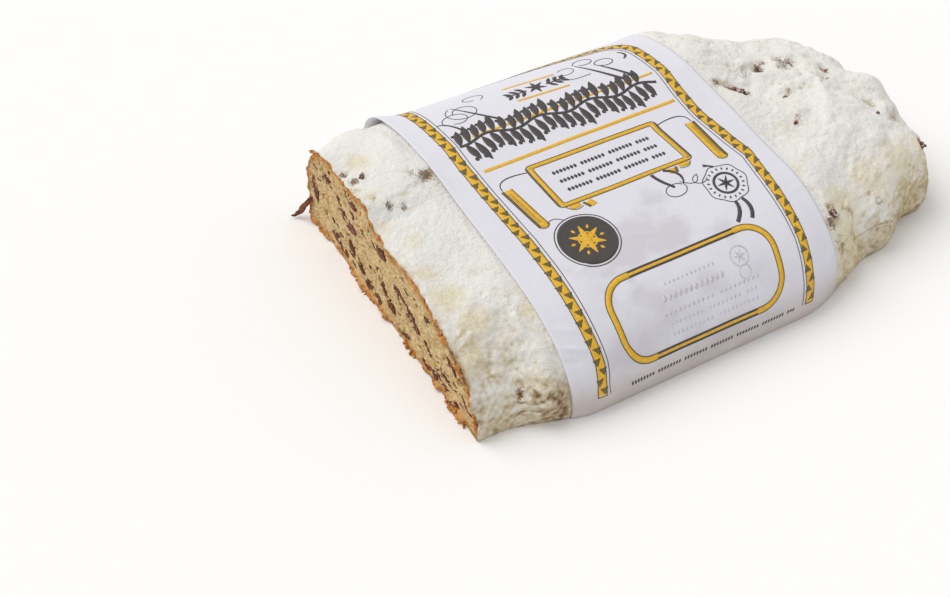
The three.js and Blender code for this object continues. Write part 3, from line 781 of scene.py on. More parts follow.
def crumbs_piece(ring, colours):
    """Torn golden crumbs round the edge of the cut, in ragged heaps along the crown and the base."""
    random = np.random.default_rng(421)
    count, corners = RIM_CRUMB_COUNT, len(ring)
    crown_heaps, base_heaps = random.uniform(0, CROWN_POINTS, 5), random.uniform(CROWN_POINTS, corners, 14)
    heaps = np.concatenate([crown_heaps, base_heaps, (30, 90, 96, 250)])
    spread = np.where(heaps > CROWN_POINTS, 0.25, 4.5)
    chosen = random.integers(0, len(heaps), count)
    place = random.normal(heaps[chosen], spread[chosen]) % corners
    steps = np.arange(corners)
    at = np.stack([np.interp(place, steps, ring[:, axis], period=corners) for axis in range(3)], axis=-1)
    middle = np.array([0, 0, 18.0])
    at = at + (middle - at) * [0, 1, 1] * random.uniform(0.0, 0.05, len(at))[:, None]
    low = place > CROWN_POINTS
    at[:, 0] = random.uniform(-0.25, 0.35, len(at)) - low * random.uniform(-0.2, 1.1, len(at))
    spans = random.gamma(2.2, 0.2, (len(at), 3)) * (1 + 0.4 * low[:, None]) + 0.16
    points, faces, _ = wrinkled_balls(at, random_axes(random, len(at)), spans, 6, 8, 0.6, 423)
    points[..., 2] = np.maximum(points[..., 2], 0.05)
    return seat(cut_mesh_piece("rim_crumbs", points, faces, rim_material(colours)), "crumb")


# ---------------------------------------------------------------- the paper

# How far the paper's far edge slants in at the front foot
FAR_EDGE_SLANT = 4.0
# Where butter has soaked into the paper: place along and up the paper, spread along and up, and strength
SOAKED = (
    (62, 66, 20, 12, 0.75), (42, 52, 12, 12, 0.6), (92, 60, 16, 10, 0.45), (78, 84, 18, 9, 0.35),
    (62, 34, 26, 14, 0.4), (100, 30, 18, 12, 0.25), (28, 22, 14, 10, 0.5), (72, 13, 34, 6, 0.35),
    (22, 70, 6, 14, 0.35), (118, 112, 8, 14, 0.25), (60, 146, 24, 10, 0.2), (104, 170, 20, 10, 0.2),
)
# Creases in the paper: the ends of each, as places along and up the paper, and its height or depth
CREASES = (
    ((-1, 36), (13, 31), 0.9), ((0, 29), (9, 27.5), -0.6), ((9, 10.5), (40, 7.5), 0.7),
    ((60, 12), (96, 15), 0.25), ((139, 60), (148, 57), 0.3), ((0, 118), (8, 112), 0.25),
    ((2, 44), (12, 40), 0.5), ((0, 22), (7, 4), 0.8), ((14, 20), (26, 3), -0.5),
    ((20, 62), (44, 72), 0.3), ((52, 74), (84, 62), 0.22), ((60, 90), (92, 76), -0.2),
    ((0, 160), (10, 150), 0.3), ((136, 20), (148, 26), 0.35),
)
CREASE_WIDTH = 1.3
SWAY_HEIGHT = 0.32
FLARE_HEIGHT = 0.45
FLARE_WIDTH = 3.5


def crease_heights(u, v):
    """The height of all the creases: each falls off to both sides as e to minus the squared distance, and to
    both ends as a sine."""
    height = np.zeros(u.shape)
    for start, end, crease in CREASES:
        a, b = np.array(start, float), np.array(end, float)
        along = np.clip(((u - a[0]) * (b - a)[0] + (v - a[1]) * (b - a)[1]) / ((b - a) @ (b - a)), 0, 1)
        distance = np.hypot(u - a[0] - along * (b - a)[0], v - a[1] - along * (b - a)[1])
        across = crease * np.exp(-((distance / CREASE_WIDTH) ** 2))
        height = height + across * np.sin(np.pi * np.clip(along, 0.08, 0.92))
    return height


def soaked_share(u, v):
    """How far butter has soaked into the paper: the sum of its round patches, each broken up by noise."""
    soaked = np.zeros(u.shape)
    for middle_u, middle_v, across, up, strength in SOAKED:
        reach = ((u - middle_u) / across) ** 2 + ((v - middle_v) / up) ** 2
        soaked = soaked + strength * np.exp(-reach) * (1 + 0.9 * clouds(u, v, 0 * v, 13, 531, 3))
    return np.clip(soaked, 0, 1)


def paper_table(sizes):
    """The outer face of the paper on a table: rows at even steps along the loaf, and columns at even shares
    of the way over the crown. Gives the points, their normals, each row's girth, the butter stain, and the
    mask of painted shade at the feet."""
    u = np.linspace(0, BAND_WIDTH, PAPER_COLUMNS)
    form = bridge_dip(smooth_form(BAND_START + u, 900, 0), 900, 1.0)
    steps = np.linalg.norm(np.diff(form, axis=1), axis=-1)
    travelled = np.concatenate([np.zeros((len(u), 1)), np.cumsum(steps, axis=1)], axis=1)
    girth = travelled[:, -1]
    share = np.linspace(0, 1, PAPER_ROWS + 1)
    crown = np.empty((len(u), PAPER_ROWS + 1, 3))
    for row, line in enumerate(form):
        for axis in range(3):
            crown[row, :, axis] = np.interp(share * girth[row], travelled[row], line[:, axis])
    v = share[None, :] * girth[:, None]
    slant = FAR_EDGE_SLANT * rise(u, 128, BAND_WIDTH)[:, None] * (1 - rise(v, 6, 64))
    row = np.clip(u[:, None] - slant, 0, BAND_WIDTH - 0.001) / BAND_WIDTH * (PAPER_COLUMNS - 1)
    i, j = row.astype(int), np.arange(PAPER_ROWS + 1)[None, :]
    crown = mix(crown[i, j], crown[i + 1, j], (row - i)[..., None])
    uu = u[:, None] + 0 * v
    normals = -grid_normals(crown[:, ::-1], wrapped=False)[:, ::-1]
    on_crown = rise(v, 0, 12) * (1 - rise(v, girth[:, None] - 12, girth[:, None]))
    sway = SWAY_HEIGHT * clouds(uu, v, 0 * v, 34, 501, 2)
    edges = np.exp(-((uu / FLARE_WIDTH) ** 2)) + np.exp(-(((BAND_WIDTH - uu) / FLARE_WIDTH) ** 2))
    flare = FLARE_HEIGHT * edges * (1 + cloud(uu / 3, v, 0 * v, 22, 503))
    corner = sizes.corner_lift / MM * np.exp(-((uu / 8) ** 2)) * np.exp(-(((v - 206) / 20) ** 2))
    height = (sway + flare + corner) * on_crown + crease_heights(uu, v)
    # painted shade at the feet: one at the front and back foot of the paper, nothing up on the crown
    foot = 1 - rise(v, 3, 25) + rise(v, girth[:, None] - 25, girth[:, None] - 3)
    foot = np.clip(foot + 0.15 * cloud(uu, v, 0 * v, 9, 533) * foot, 0, 1)
    points = crown + normals * height[..., None]
    soaked = soaked_share(uu, v)
    return {"u": u, "girth": girth, "points": points, "normals": normals, "soaked": soaked, "foot": foot}


def on_paper(table, u, v, lift):
    """Points over the paper at the place u along the loaf and v up from the front foot, by blending the four
    nearest points of the table, and lifted along the blended normal."""
    row = np.clip(u / BAND_WIDTH * (PAPER_COLUMNS - 1), 0, PAPER_COLUMNS - 1.001)
    column = np.clip(v / np.interp(u, table["u"], table["girth"]) * PAPER_ROWS, 0, PAPER_ROWS - 0.001)
    i, j = row.astype(int), column.astype(int)
    s, t = (row - i)[..., None], (column - j)[..., None]

    def blend(values):
        """The values at the four nearest points, each by its share."""
        near = mix(values[i, j], values[i, j + 1], t)
        return mix(near, mix(values[i + 1, j], values[i + 1, j + 1], t), s)

    return blend(table["points"]) + lift * blend(table["normals"])


def paper_piece(table, sizes, colours):
    """The band as one closed ring of paper: the table outside, the same face moved in by the thickness, and
    the two cut edges. The underside runs straight from foot to foot."""
    thickness = sizes.paper_thickness / MM
    inner_rows = np.linspace(PAPER_COLUMNS - 1, 0, 25).round().astype(int)
    outside = table["points"]
    inside = outside[inner_rows] - thickness * table["normals"][inner_rows]
    grid = np.concatenate([outside, inside])
    shares = (np.arange(1, 13) / 13)[None, :, None]
    base = mix(grid[:, -1:], grid[:, :1], shares)
    base[..., 2] = np.where(np.arange(len(grid)) < PAPER_COLUMNS, 0, thickness)[:, None]
    grid = np.concatenate([grid, base], axis=1)
    grid[..., 2] = np.maximum(grid[..., 2], 0)
    rows, columns = grid.shape[:2]
    grid = np.concatenate([grid, grid[:1]])
    faces = grid_faces(rows + 1, columns, wrapped=True) % (rows * columns)
    attributes = {}
    # the underside has no butter stain, and full painted shade as at the foot
    for name, below in (("soaked", 0.0), ("foot", 1.0)):
        values = np.concatenate([table[name], table[name][inner_rows]])
        attributes[name] = np.hstack([values, np.full((len(values), shares.shape[1]), below)])
    piece = mesh_piece("paper_wrap", grid[:-1].reshape(-1, 3), faces, paper_material(colours), attributes)
    return seat(piece, "paper", "paper_band")


# ---------------------------------------------------------------- the print

# The print was laid out square, and sits a little askew on the wrapped paper. Each row: a height in the
# print, its height on the paper, and the print's middle and width there
PRINT_PLACES = np.array([
    (0, 0, 68.2, 0.91), (12, 12, 69.2, 0.92), (24, 24, 70.9, 0.924), (40, 40, 72.6, 0.955),
    (52, 52, 73.5, 0.965),
    (70, 70, 74.8, 0.977), (88, 88, 76.0, 0.998), (99.4, 98, 74.6, 0.987), (123.8, 120, 72.6, 0.972),
    (131.1, 126.6, 72.5, 0.974), (141.3, 138, 72.6, 0.983), (156.5, 154.5, 73.8, 0.996),
    (169.5, 167.3, 73.6, 0.998), (183.5, 181.4, 73.5, 0.997), (220, 217.9, 73.7, 0.994),
]).T
PRINT_CENTRE = 74.0
INK_LIFTS = {"gold": 0.05, "shade": 0.075, "dark": 0.1, "faint": 0.05, "star": 0.13}
INK_UNDERSIDE = 0.01


def evenly(path, closed=False):
    """The same path with its points at even steps, no longer than an ink step."""
    path = np.asarray(path, float)
    if closed:
        path = np.concatenate([path, path[:1]])
    travelled = np.concatenate([[0], np.cumsum(np.hypot(*np.diff(path, axis=0).T))])
    count = max(2, int(np.ceil(travelled[-1] / INK_STEP)))
    places = np.linspace(0, travelled[-1], count + 1)
    points = np.stack([np.interp(places, travelled, path[:, axis]) for axis in (0, 1)], axis=-1)
    return points[:-1] if closed else points


def printed_line(path, width, closed=False):
    """A printed line: rows of points across a path, from its right to its left, by half the width each way.

    The width is one number, or several that are spread evenly along the path."""
    path = evenly(path, closed)
    step = np.roll(path, -1, 0) - np.roll(path, 1, 0) if closed else np.gradient(path, axis=0)
    step /= np.maximum(np.hypot(step[:, 0], step[:, 1]), 1e-9)[:, None]
    left = np.stack([-step[:, 1], step[:, 0]], axis=-1)
    widths = np.atleast_1d(np.asarray(width, float))
    widths = np.interp(np.linspace(0, 1, len(path)), np.linspace(0, 1, len(widths)), widths)
    across = np.linspace(-0.5, 0.5, max(2, int(np.ceil(widths.max() / 1.5)) + 1))
    return path[:, None] + (widths[:, None] * across)[..., None] * left[:, None], closed


def round_path(centre, across, along, turn):
    """Points round a centre at the given angles, as far out as the two half widths."""
    return np.stack([centre[0] + across * np.cos(turn), centre[1] + along * np.sin(turn)], axis=-1)


def leaf(start, end, width):
    """A pointed leaf or lozenge between two points, as wide as the sine of the way along it."""
    t = np.linspace(0, 1, 9)
    path = mix(np.array(start, float), np.array(end, float), t[:, None])
    return printed_line(path, width * np.maximum(np.sin(np.pi * t), 0.04) ** 0.8)


def disc(centre, radius):
    """A round spot: a line through its centre, as wide as its chords."""
    turn = np.linspace(0, np.pi, 25)
    path = np.stack([centre[0] - radius * np.cos(turn), centre[1] + 0 * turn], axis=-1)
    chord = 2 * radius * np.maximum(np.sin(turn), 0.02)
    rows = np.linspace(-0.5, 0.5, max(5, int(radius / 0.7)))
    return path[:, None] + np.stack([0 * chord[:, None] * rows, chord[:, None] * rows], axis=-1), False


def ring(centre, radius, width, waves=0, wave=0.0):
    """A round line, whose radius may swell and shrink as a cosine a few times on the way round."""
    turn = np.linspace(0, 2 * np.pi, 97)[:-1]
    reach = radius + wave * np.cos(waves * turn)
    return printed_line(round_path(centre, reach, reach, turn), width, closed=True)


def curl(centre, radii, start, sweep, end_share, width):
    """A spiral flourish: an ellipse that shrinks evenly to a share of its size as it turns."""
    t = np.linspace(0, 1, 60)
    turn = np.radians(start + sweep * t)
    size = mix(1, end_share, t)
    return printed_line(round_path(centre, radii[0] * size, radii[1] * size, turn), width)


def bow(start, middle, end, width):
    """A curved stroke through three points, along a parabola."""
    t = np.linspace(0, 1, 24)[:, None]
    a, b, c = (np.array(point, float) for point in (start, middle, end))
    return printed_line(a * (1 - t) * (1 - 2 * t) + b * 4 * t * (1 - t) + c * t * (2 * t - 1), width)


def rounded_frame(low_u, high_u, low_v, high_v, radius):
    """A closed path round a rectangle, with quarter circles at its corners."""
    turn = np.linspace(0, np.pi / 2, 12)
    corners = (
        (high_u - radius, high_v - radius, 0), (low_u + radius, high_v - radius, 1),
        (low_u + radius, low_v + radius, 2), (high_u - radius, low_v + radius, 3),
    )
    return np.concatenate([
        round_path((u, v), radius, radius, turn + quarter * np.pi / 2) for u, v, quarter in corners
    ])


def border_path(inset):
    """The arched border: up the left side, over the top with rounded corners and down the right side. Its top
    slopes, because the paper went round the loaf a little askew."""
    low, high, foot = 13.4 + inset, 134.6 - inset, 9.5
    turn = np.linspace(0, np.pi / 2, 14)
    radius, top = 14 - inset, 216 - inset
    left = np.stack([low + radius - radius * np.cos(turn), top - radius + radius * np.sin(turn)], axis=-1)
    radius, top = 18 - inset, 195 - inset
    right = np.stack([high - radius + radius * np.sin(turn), top - radius + radius * np.cos(turn)], axis=-1)
    return np.concatenate([[[low, foot]], left, right, [[high, foot]]])


def heading(angle):
    """One step in a direction on the paper."""
    return np.array([math.cos(angle), math.sin(angle)])


def star(centre, reach, width, turn=0.0):
    """A star of three leaves that cross at its centre."""
    leaves = []
    for k in range(3):
        arm = heading(turn + 2 * math.pi * k / 6) * reach
        leaves.append(leaf(np.array(centre) - arm, np.array(centre) + arm, width))
    return leaves


def spokes(centre, inner, outer, width, count):
    """Leaves that stand round a centre at even angles, from an inner to an outer distance."""
    centre = np.array(centre)
    return [
        leaf(centre + inner * heading(angle), centre + outer * heading(angle), width)
        for angle in (2 * math.pi * k / count for k in range(count))
    ]


def printed_lines(*rows):
    """Several printed lines, each from its two ends and its width."""
    return [printed_line(row[:2], row[2]) for row in rows]


def lozenge_row(low_u, high_u, v, pitch, size, gaps):
    """A row of small upright lozenges, with every so many left out."""
    row = []
    for k, u in enumerate(np.arange(low_u, high_u, pitch)):
        if k % gaps:
            row.append(leaf((u - 0.25, v - size / 2), (u + 0.25, v + size / 2), 0.66 * size))
    return row


def scroll_roll(foot, head, width, mirrored):
    """A rolled-up side of the scroll: a gold half, a shaded half and their outlines."""
    foot, head = np.array(foot, float), np.array(head, float)
    side = np.array([width / 4, 0]) * (-1 if mirrored else 1)
    gold = [printed_line([foot + 0.4 * side, head + 0.4 * side], 0.8 * width)]
    shade = [printed_line([foot - 1.6 * side, head - 1.6 * side], 0.2 * width)]
    dark = [printed_line([foot + s * side, head + s * side], 0.35) for s in (-2, -1.2, 2)]
    low, high = mix(foot, head, 0.1), mix(foot, head, 0.9)
    dark += [printed_line([low + s * side, high + s * side], 0.22) for s in (-0.5, 0.2)]
    dark += [bow(foot - 2 * side, foot + [0, -1.6], foot + 2 * side, 0.35)]
    gold += [leaf(foot - 2 * side, foot + 2 * side, 2.4)]
    return gold, shade, dark


def border_print():
    """The arched border with its outlines, inner line and toothed shading, and the four gold rules."""
    centre = evenly(border_path(0))
    step = np.gradient(centre, axis=0)
    step /= np.hypot(*step.T)[:, None]
    left = np.stack([-step[:, 1], step[:, 0]], axis=-1)
    teeth = []
    for k, place in enumerate(range(2, len(centre) - 3, 4)):
        side = 2.3 if k % 2 else -2.3
        base = centre[place] + side * left[place]
        tip = centre[place] - 0.45 * side * left[place] + 1.7 * step[place]
        teeth.append(printed_line([base, tip], (3.7, 0.3)))
    gold = [printed_line(border_path(0), 4.8)]
    gold += printed_lines(
        ((27, 156.2), (128.5, 156.7), 1.6), ((20.5, 136.2), (128.8, 137.5), 1.7),
        ((60.5, 184.6), (88.5, 182.3), 1.4), ((60.5, 170.3), (88.5, 168.7), 1.4),
    )
    dark = [printed_line(border_path(inset), 0.36) for inset in (-2.4, 2.4, 4.1)]
    dark += [printed_line([(u - 2.4, 9.5), (u + 2.4, 9.5)], 0.36) for u in (13.4, 134.6)]
    return gold, teeth, dark


def garland_print():
    """A bold winter garland: a wavy stem with leaves and berries, a star over it, and curls beside it."""
    dark = []
    u = np.linspace(18.5, 127, 120)
    slope = 154.5 - 3.0 * (u - 18.5) / 108
    dark.append(printed_line(np.stack([u, slope + 1.6 * np.sin(u / 4.4)], axis=-1), 1.5))
    for k, place in enumerate(np.arange(19, 121, 4.7)):
        height = 154.5 - 3.0 * (place - 18.5) / 108 + 1.6 * math.sin(place / 4.4)
        long = 12.8 if k % 3 == 1 else 10.6
        dark.append(leaf((place, height), (place + 3.4, height + long), 3.9))
        dark.append(leaf((place + 2.4, height), (place + 5.0, height - long + 0.6), 3.9))
        dark.append(disc((place + 0.4, height + 7.6), 1.05))
        dark.append(disc((place + 3.0, height - 9.4), 1.05))
    dark += star((74.5, 176.5), 5.4, 2.3, turn=math.pi / 2)
    for side in (-1, 1):
        for k, reach in enumerate((6.5, 10, 13.5)):
            stem = np.array([74.5 + side * reach, 176])
            dark.append(leaf(stem, stem + [side * 3.4, 4.6 - 0.6 * k], 2.1))
            dark.append(leaf(stem, stem + [side * 3.4, -4.2 + 0.5 * k], 2.1))
        dark.append(printed_line([(74.5 + side * 5.5, 176), (74.5 + side * 16.5, 176.2)], 0.9))
    dark += [
        bow((17.4, 172), (22.5, 169.5), (27, 160), (0.5, 1.0, 1.6)),
        bow((31, 183), (37, 173), (46, 161), (0.4, 1.1, 1.7)),
        curl((34, 176.5), (9, 7), 120, 420, 0.55, 0.42),
        curl((28, 172), (7.5, 5.5), 200, -330, 0.6, 0.4),
        curl((44, 186), (6.5, 4), -60, 330, 0.55, 0.4),
        bow((101, 183), (106, 173), (113.5, 160), (0.5, 1.4, 2.0)),
        bow((109.5, 178), (113.5, 171), (119.5, 160), (0.5, 1.4, 2.0)),
        curl((106.5, 184), (5.5, 3.8), 180, -320, 0.8, 0.5),
        curl((114.8, 177.5), (5.3, 3.8), 180, -320, 0.8, 0.5),
        bow((103, 171.5), (90, 173), (86, 180), 0.42),
        curl((94, 181), (5.5, 4), 200, 300, 0.7, 0.38),
        bow((126.2, 182.5), (127.8, 178), (124.8, 175), (0.7, 1.4, 0.9)),
    ]
    return [], [], dark


def scroll_print():
    """The unrolled scroll with three rows of lozenges, its rolled sides, ends and folded tabs."""
    gold = printed_lines(
        ((39, 129.8), (110, 129.8), 2.3), ((39, 100.7), (110, 100.7), 2.3),
        ((39.9, 101), (39.9, 129.5), 2.2), ((109.1, 101), (109.1, 129.5), 2.2),
        ((51.6, 98.4), (53, 94.6), (3.6, 3.2)), ((97.4, 98.4), (96, 94.8), (3.6, 3.2)),
        ((41.5, 97.9), (47.5, 98.5), (1.6, 3.6, 3.8, 2.2)),
        ((101.5, 98.5), (107.5, 97.9), (2.2, 3.8, 3.6, 1.6)),
    )
    shade = printed_lines(
        ((38.3, 100.5), (38.3, 130), 0.8), ((110.7, 100.5), (110.7, 130), 0.8),
        ((49, 98.4), (50.6, 94.4), 1.4), ((100, 98.4), (98.4, 94.8), 1.4),
    )
    dark = [
        printed_line(rounded_frame(37.7, 111.3, 99.4, 131.1, 2.6), 0.4, closed=True),
        printed_line(rounded_frame(41.2, 107.8, 101.9, 128.6, 0.8), 0.34, closed=True),
        bow((40.3, 99.2), (43.4, 95.9), (48, 96.6), 0.38),
        bow((101, 96.6), (105.6, 95.9), (108.7, 99.2), 0.38),
        bow((21.3, 122), (25, 128), (37.5, 127.4), (0.4, 0.7, 0.5)),
        bow((127.7, 122), (124, 128), (111.5, 127.4), (0.4, 0.7, 0.5)),
        bow((27, 93.6), (31, 95.2), (35, 92.2), 0.4),
        bow((86.5, 98.8), (87.6, 93), (90.6, 86.6), (1.7, 1.7, 1.4)),
        bow((93, 98.8), (97.6, 93.5), (95.5, 86.6), (1.7, 1.5, 0.5)),
        curl((90.5, 85), (5.6, 3.9), 20, -350, 0.9, 0.42),
        bow((94.5, 88.6), (101, 85), (104.5, 89.4), 0.4), curl((104.5, 86), (4.2, 3.0), 90, 250, 0.8, 0.4),
        bow((110.8, 92.5), (113, 91), (114.2, 89.4), (2.2, 1.0, 1.6)),
    ]
    for v in (121.6, 115.2, 108.8):
        dark += lozenge_row(46.5, 103, v, 1.95, 2.6, 8)
    for mirrored, foot, head in ((False, (25.4, 93.5), (22.9, 121.5)), (True, (123.6, 93.5), (126.1, 121.5))):
        parts = scroll_roll(foot, head, 5.4, mirrored)
        gold, shade, dark = gold + parts[0], shade + parts[1], dark + parts[2]
    return gold, shade, dark


def medallion_print():
    """The dark medallion with a gold star, and the wavy seal with a star, a dotted round and two tails."""
    centre, seal = (38.1, 78.0), (114.4, 78.6)
    gold_over = star(centre, 8.4, 3.2, turn=math.pi / 6) + [ring(centre, 4.2, 0.8)]
    gold_over += spokes(centre, 6.2, 8.6, 1.5, 6)
    dark = [disc(centre, 13.7), ring(centre, 14.8, 0.5)]
    dark += [ring(seal, 10.9, 0.42, waves=7, wave=0.45), ring(seal, 5.9, 1.3)] + star(seal, 4.6, 1.5)
    dark += spokes(seal, 7.7, 9.5, 1.0, 20)
    dark += [bow((112.4, 67.8), (111.6, 62.5), (107.2, 57.4), (1.6, 2.1, 2.0)),
             bow((116.4, 67.9), (117.6, 62), (115, 56.6), (1.6, 2.1, 2.0))]
    return gold_over, [], dark


def label_print():
    """The rounded label frame with its doubled straight runs, faint lines, and the row along the foot."""
    low_u, high_u, low_v, high_v, radius = 28.3, 118.2, 16.8, 54.4, 13.0
    gold = [printed_line(rounded_frame(low_u, high_u, low_v, high_v, radius), 2.9, closed=True)]
    outlines = (
        rounded_frame(low_u - d, high_u + d, low_v - d, high_v + d, radius + d) for d in (-1.5, 1.5)
    )
    dark = [printed_line(outline, 0.36, closed=True) for outline in outlines]
    dark += [
        printed_line([(low_u + 16, v + d), (high_u - 16, v + d)], 0.75)
        for v in (low_v, high_v) for d in (-1.05, 1.05)
    ]
    dark += lozenge_row(28, 125, 9.6, 1.7, 1.9, 9)
    faint = lozenge_row(52, 104, 23, 2.4, 1.8, 11) + lozenge_row(52, 104, 27.5, 2.4, 1.8, 9)
    faint += lozenge_row(50, 106, 32, 2.6, 2.2, 12) + lozenge_row(52, 88, 38.5, 2.9, 3.4, 99)
    faint += lozenge_row(56, 86, 44.5, 2.4, 1.8, 99)
    faint += [ring((99, 43), 4.6, 0.8), ring((99, 35.6), 3.0, 0.7)] + star((99, 43), 3.4, 1.2)
    return gold, dark, faint


def ink_piece(name, table, parts, lift, material):
    """All of one ink as one mesh of thin closed plates: each part's rows of points laid on the paper, with
    the top face lifted by the ink's height and the underside just clear of the paper."""
    points, faces, first = [], [], 0
    for rows, closed in parts:
        count, across = rows.shape[:2]
        v, middle, width = (np.interp(rows[..., 1], PRINT_PLACES[0], column) for column in PRINT_PLACES[1:])
        u = middle + (rows[..., 0] - PRINT_CENTRE) * width
        top = on_paper(table, u, v, lift)
        under = on_paper(table, u, v, INK_UNDERSIDE)[:, ::-1]
        points.append(np.concatenate([top, under], axis=1).reshape(-1, 3))
        loop = 2 * across
        if closed:
            faces.append(grid_faces(count + 1, loop, wrapped=True) % (count * loop) + first)
        else:
            k = np.arange(across - 1)
            cap = np.stack([k, k + 1, loop - 2 - k, loop - 1 - k], axis=-1)
            faces += [grid_faces(count, loop, wrapped=True, first=first), cap + first,
                      cap[:, ::-1] + first + (count - 1) * loop]
        first += count * loop
    piece = mesh_piece(name, np.concatenate(points), np.concatenate(faces), material)
    return seat(piece, "print")


def print_pieces(table, colours):
    """The whole print as one piece for each ink, and one for the gold that lies on the dark medallion."""
    border, garland, scroll = border_print(), garland_print(), scroll_print()
    star_gold, _, medallion = medallion_print()
    frame_gold, frame_dark, faint = label_print()
    gold = ink_material("Gold ink", colours.gold_ink)
    dark = ink_material("Dark ink", colours.dark_ink)
    shade = ink_material("Shading ink", colours.shade_ink)
    ink_piece("print_gold", table, border[0] + scroll[0] + frame_gold, INK_LIFTS["gold"], gold)
    ink_piece("print_shade", table, border[1] + scroll[1], INK_LIFTS["shade"], shade)
    ink_piece("print_dark", table, border[2] + garland[2] + scroll[2] + medallion + frame_dark,
              INK_LIFTS["dark"], dark)
    ink_piece("print_star", table, star_gold, INK_LIFTS["star"], gold)
    ink_piece("print_faint", table, faint, INK_LIFTS["faint"], ink_material("Faint ink", colours.faint_ink))


# ---------------------------------------------------------------- materials


def add_node(tree, kind, inputs=None, **settings):
    """Adds a node, makes its settings, and gives each named input a value or joins an output to it."""
    made = tree.nodes.new(kind)
    for name, value in settings.items():
        setattr(made, name, value)
    for name, value in (inputs or {}).items():
        if isinstance(value, bpy.types.NodeSocket):
            tree.links.new(value, made.inputs[name])
        else:
            made.inputs[name].default_value = value
    return made


def calculate(tree, operation, a, b, limited=False):
    """A sum, product or other result of two values."""
    return add_node(tree, "ShaderNodeMath", {0: a, 1: b}, operation=operation, use_clamp=limited).outputs[0]


def colour_steps(tree, factor, steps):
    """A colour ramp: pairs of a place from 0 to 1 and the colour there."""
    ramp = add_node(tree, "ShaderNodeValToRGB", {"Fac": factor})
    elements = ramp.color_ramp.elements
    while len(elements) < len(steps):
        elements.new(0.5)
    for element, (place, colour) in zip(elements, steps):
        element.position = place
        element.color = (*colour, 1)
    return ramp.outputs["Color"]


def value_steps(tree, factor, low, high):
    """Nought below low, one above high, and smooth between them."""
    return add_node(tree, "ShaderNodeMapRange", {"Value": factor, "From Min": low, "From Max": high},
                    interpolation_type="SMOOTHSTEP").outputs["Result"]


def colour_mix(tree, factor, a, b, blend="MIX"):
    """Colour a changed to b by a factor."""
    made = add_node(tree, "ShaderNodeMix", data_type="RGBA", blend_type=blend)
    for index, value in ((0, factor), (6, a), (7, b)):
        if isinstance(value, bpy.types.NodeSocket):
            tree.links.new(value, made.inputs[index])
        else:
            made.inputs[index].default_value = value if index == 0 else (*value, 1)
    return made.outputs[2]


def shared_group(name, inputs, build):
    """A shader node group with named inputs and one value output, built once and shared by the materials."""
    group = bpy.data.node_groups.get(name)
    if group:
        return group
    group = bpy.data.node_groups.new(name, "ShaderNodeTree")
    for label, kind, value in inputs:
        socket = group.interface.new_socket(label, in_out="INPUT", socket_type=kind)
        if value is not None:
            socket.default_value = value
    group.interface.new_socket("Value", in_out="OUTPUT", socket_type="NodeSocketFloat")
    source, result = group.nodes.new("NodeGroupInput"), group.nodes.new("NodeGroupOutput")
    group.links.new(build(group, source.outputs), result.inputs["Value"])
    return group


def build_mottling(tree, given):
    """Noise at three sizes, added in the shares that the group asks for."""
    total = None
    for size, share in ((1.0, 0.5), (3.1, 0.3), (9.0, 0.2)):
        scale = calculate(tree, "MULTIPLY", given["Scale"], size)
        inputs = {"Vector": given["Vector"], "Scale": scale, "Detail": 3.0, "Roughness": 0.55}
        noise = add_node(tree, "ShaderNodeTexNoise", inputs)
        part = calculate(tree, "MULTIPLY", noise.outputs["Fac"], share)
        total = part if total is None else calculate(tree, "ADD", total, part)
    centred = calculate(tree, "SUBTRACT", total, 0.5)
    return calculate(tree, "MULTIPLY", centred, given["Strength"])


def build_grain(tree, given):
    """A height for fine bumps: rounded grains from a cell pattern, with noise over them."""
    inputs = {"Vector": given["Vector"], "Scale": given["Scale"]}
    cells = add_node(tree, "ShaderNodeTexVoronoi", inputs, feature="SMOOTH_F1")
    noise = add_node(tree, "ShaderNodeTexNoise", {**inputs, "Detail": 5.0, "Roughness": 0.65})
    rounded = calculate(tree, "MULTIPLY", cells.outputs["Distance"], given["Roundness"])
    return calculate(tree, "SUBTRACT", noise.outputs["Fac"], rounded)


def pattern(tree, vector, scale, name, build, label, amount):
    """The value of one of the shared groups, at a scale and with its own one amount."""
    sockets = (("Vector", "NodeSocketVector", None), ("Scale", "NodeSocketFloat", 100.0))
    group = shared_group(name, (*sockets, (label, "NodeSocketFloat", 1.0)), build)
    inputs = {"Vector": vector, "Scale": scale, label: amount}
    return add_node(tree, "ShaderNodeGroup", inputs, node_tree=group).outputs["Value"]


def mottling(tree, vector, scale, strength):
    """Uneven tone from -strength/2 to strength/2, by the shared mottling group."""
    return pattern(tree, vector, scale, "Mottling", build_mottling, "Strength", strength)


def grain(tree, vector, scale, roundness):
    """The height of fine grain, by the shared grain group."""
    return pattern(tree, vector, scale, "Grain", build_grain, "Roundness", roundness)


def new_material(name):
    """A material with its shader, its node tree and the object coordinates that its patterns follow."""
    material = bpy.data.materials.new(name)
    material.use_nodes = True
    tree = material.node_tree
    place = add_node(tree, "ShaderNodeTexCoord").outputs["Object"]
    return material, tree, tree.nodes["Principled BSDF"], place


def attribute(tree, name):
    """The values of one of the piece's own attributes."""
    return add_node(tree, "ShaderNodeAttribute", attribute_name=name).outputs["Fac"]


def finish_surface(tree, shader, colour, roughness, gloss=None):
    """Gives the shader its colour, its roughness and, if asked, how much light it throws back."""
    tree.links.new(colour, shader.inputs["Base Color"])
    shader.inputs["Roughness"].default_value = roughness
    if gloss is not None:
        shader.inputs["Specular IOR Level"].default_value = gloss


def bumps(tree, shader, height, distance, strength):
    """Small relief on the shader from a height, over a distance in metres."""
    made = add_node(tree, "ShaderNodeBump", {"Height": height, "Distance": distance, "Strength": strength})
    tree.links.new(made.outputs["Normal"], shader.inputs["Normal"])


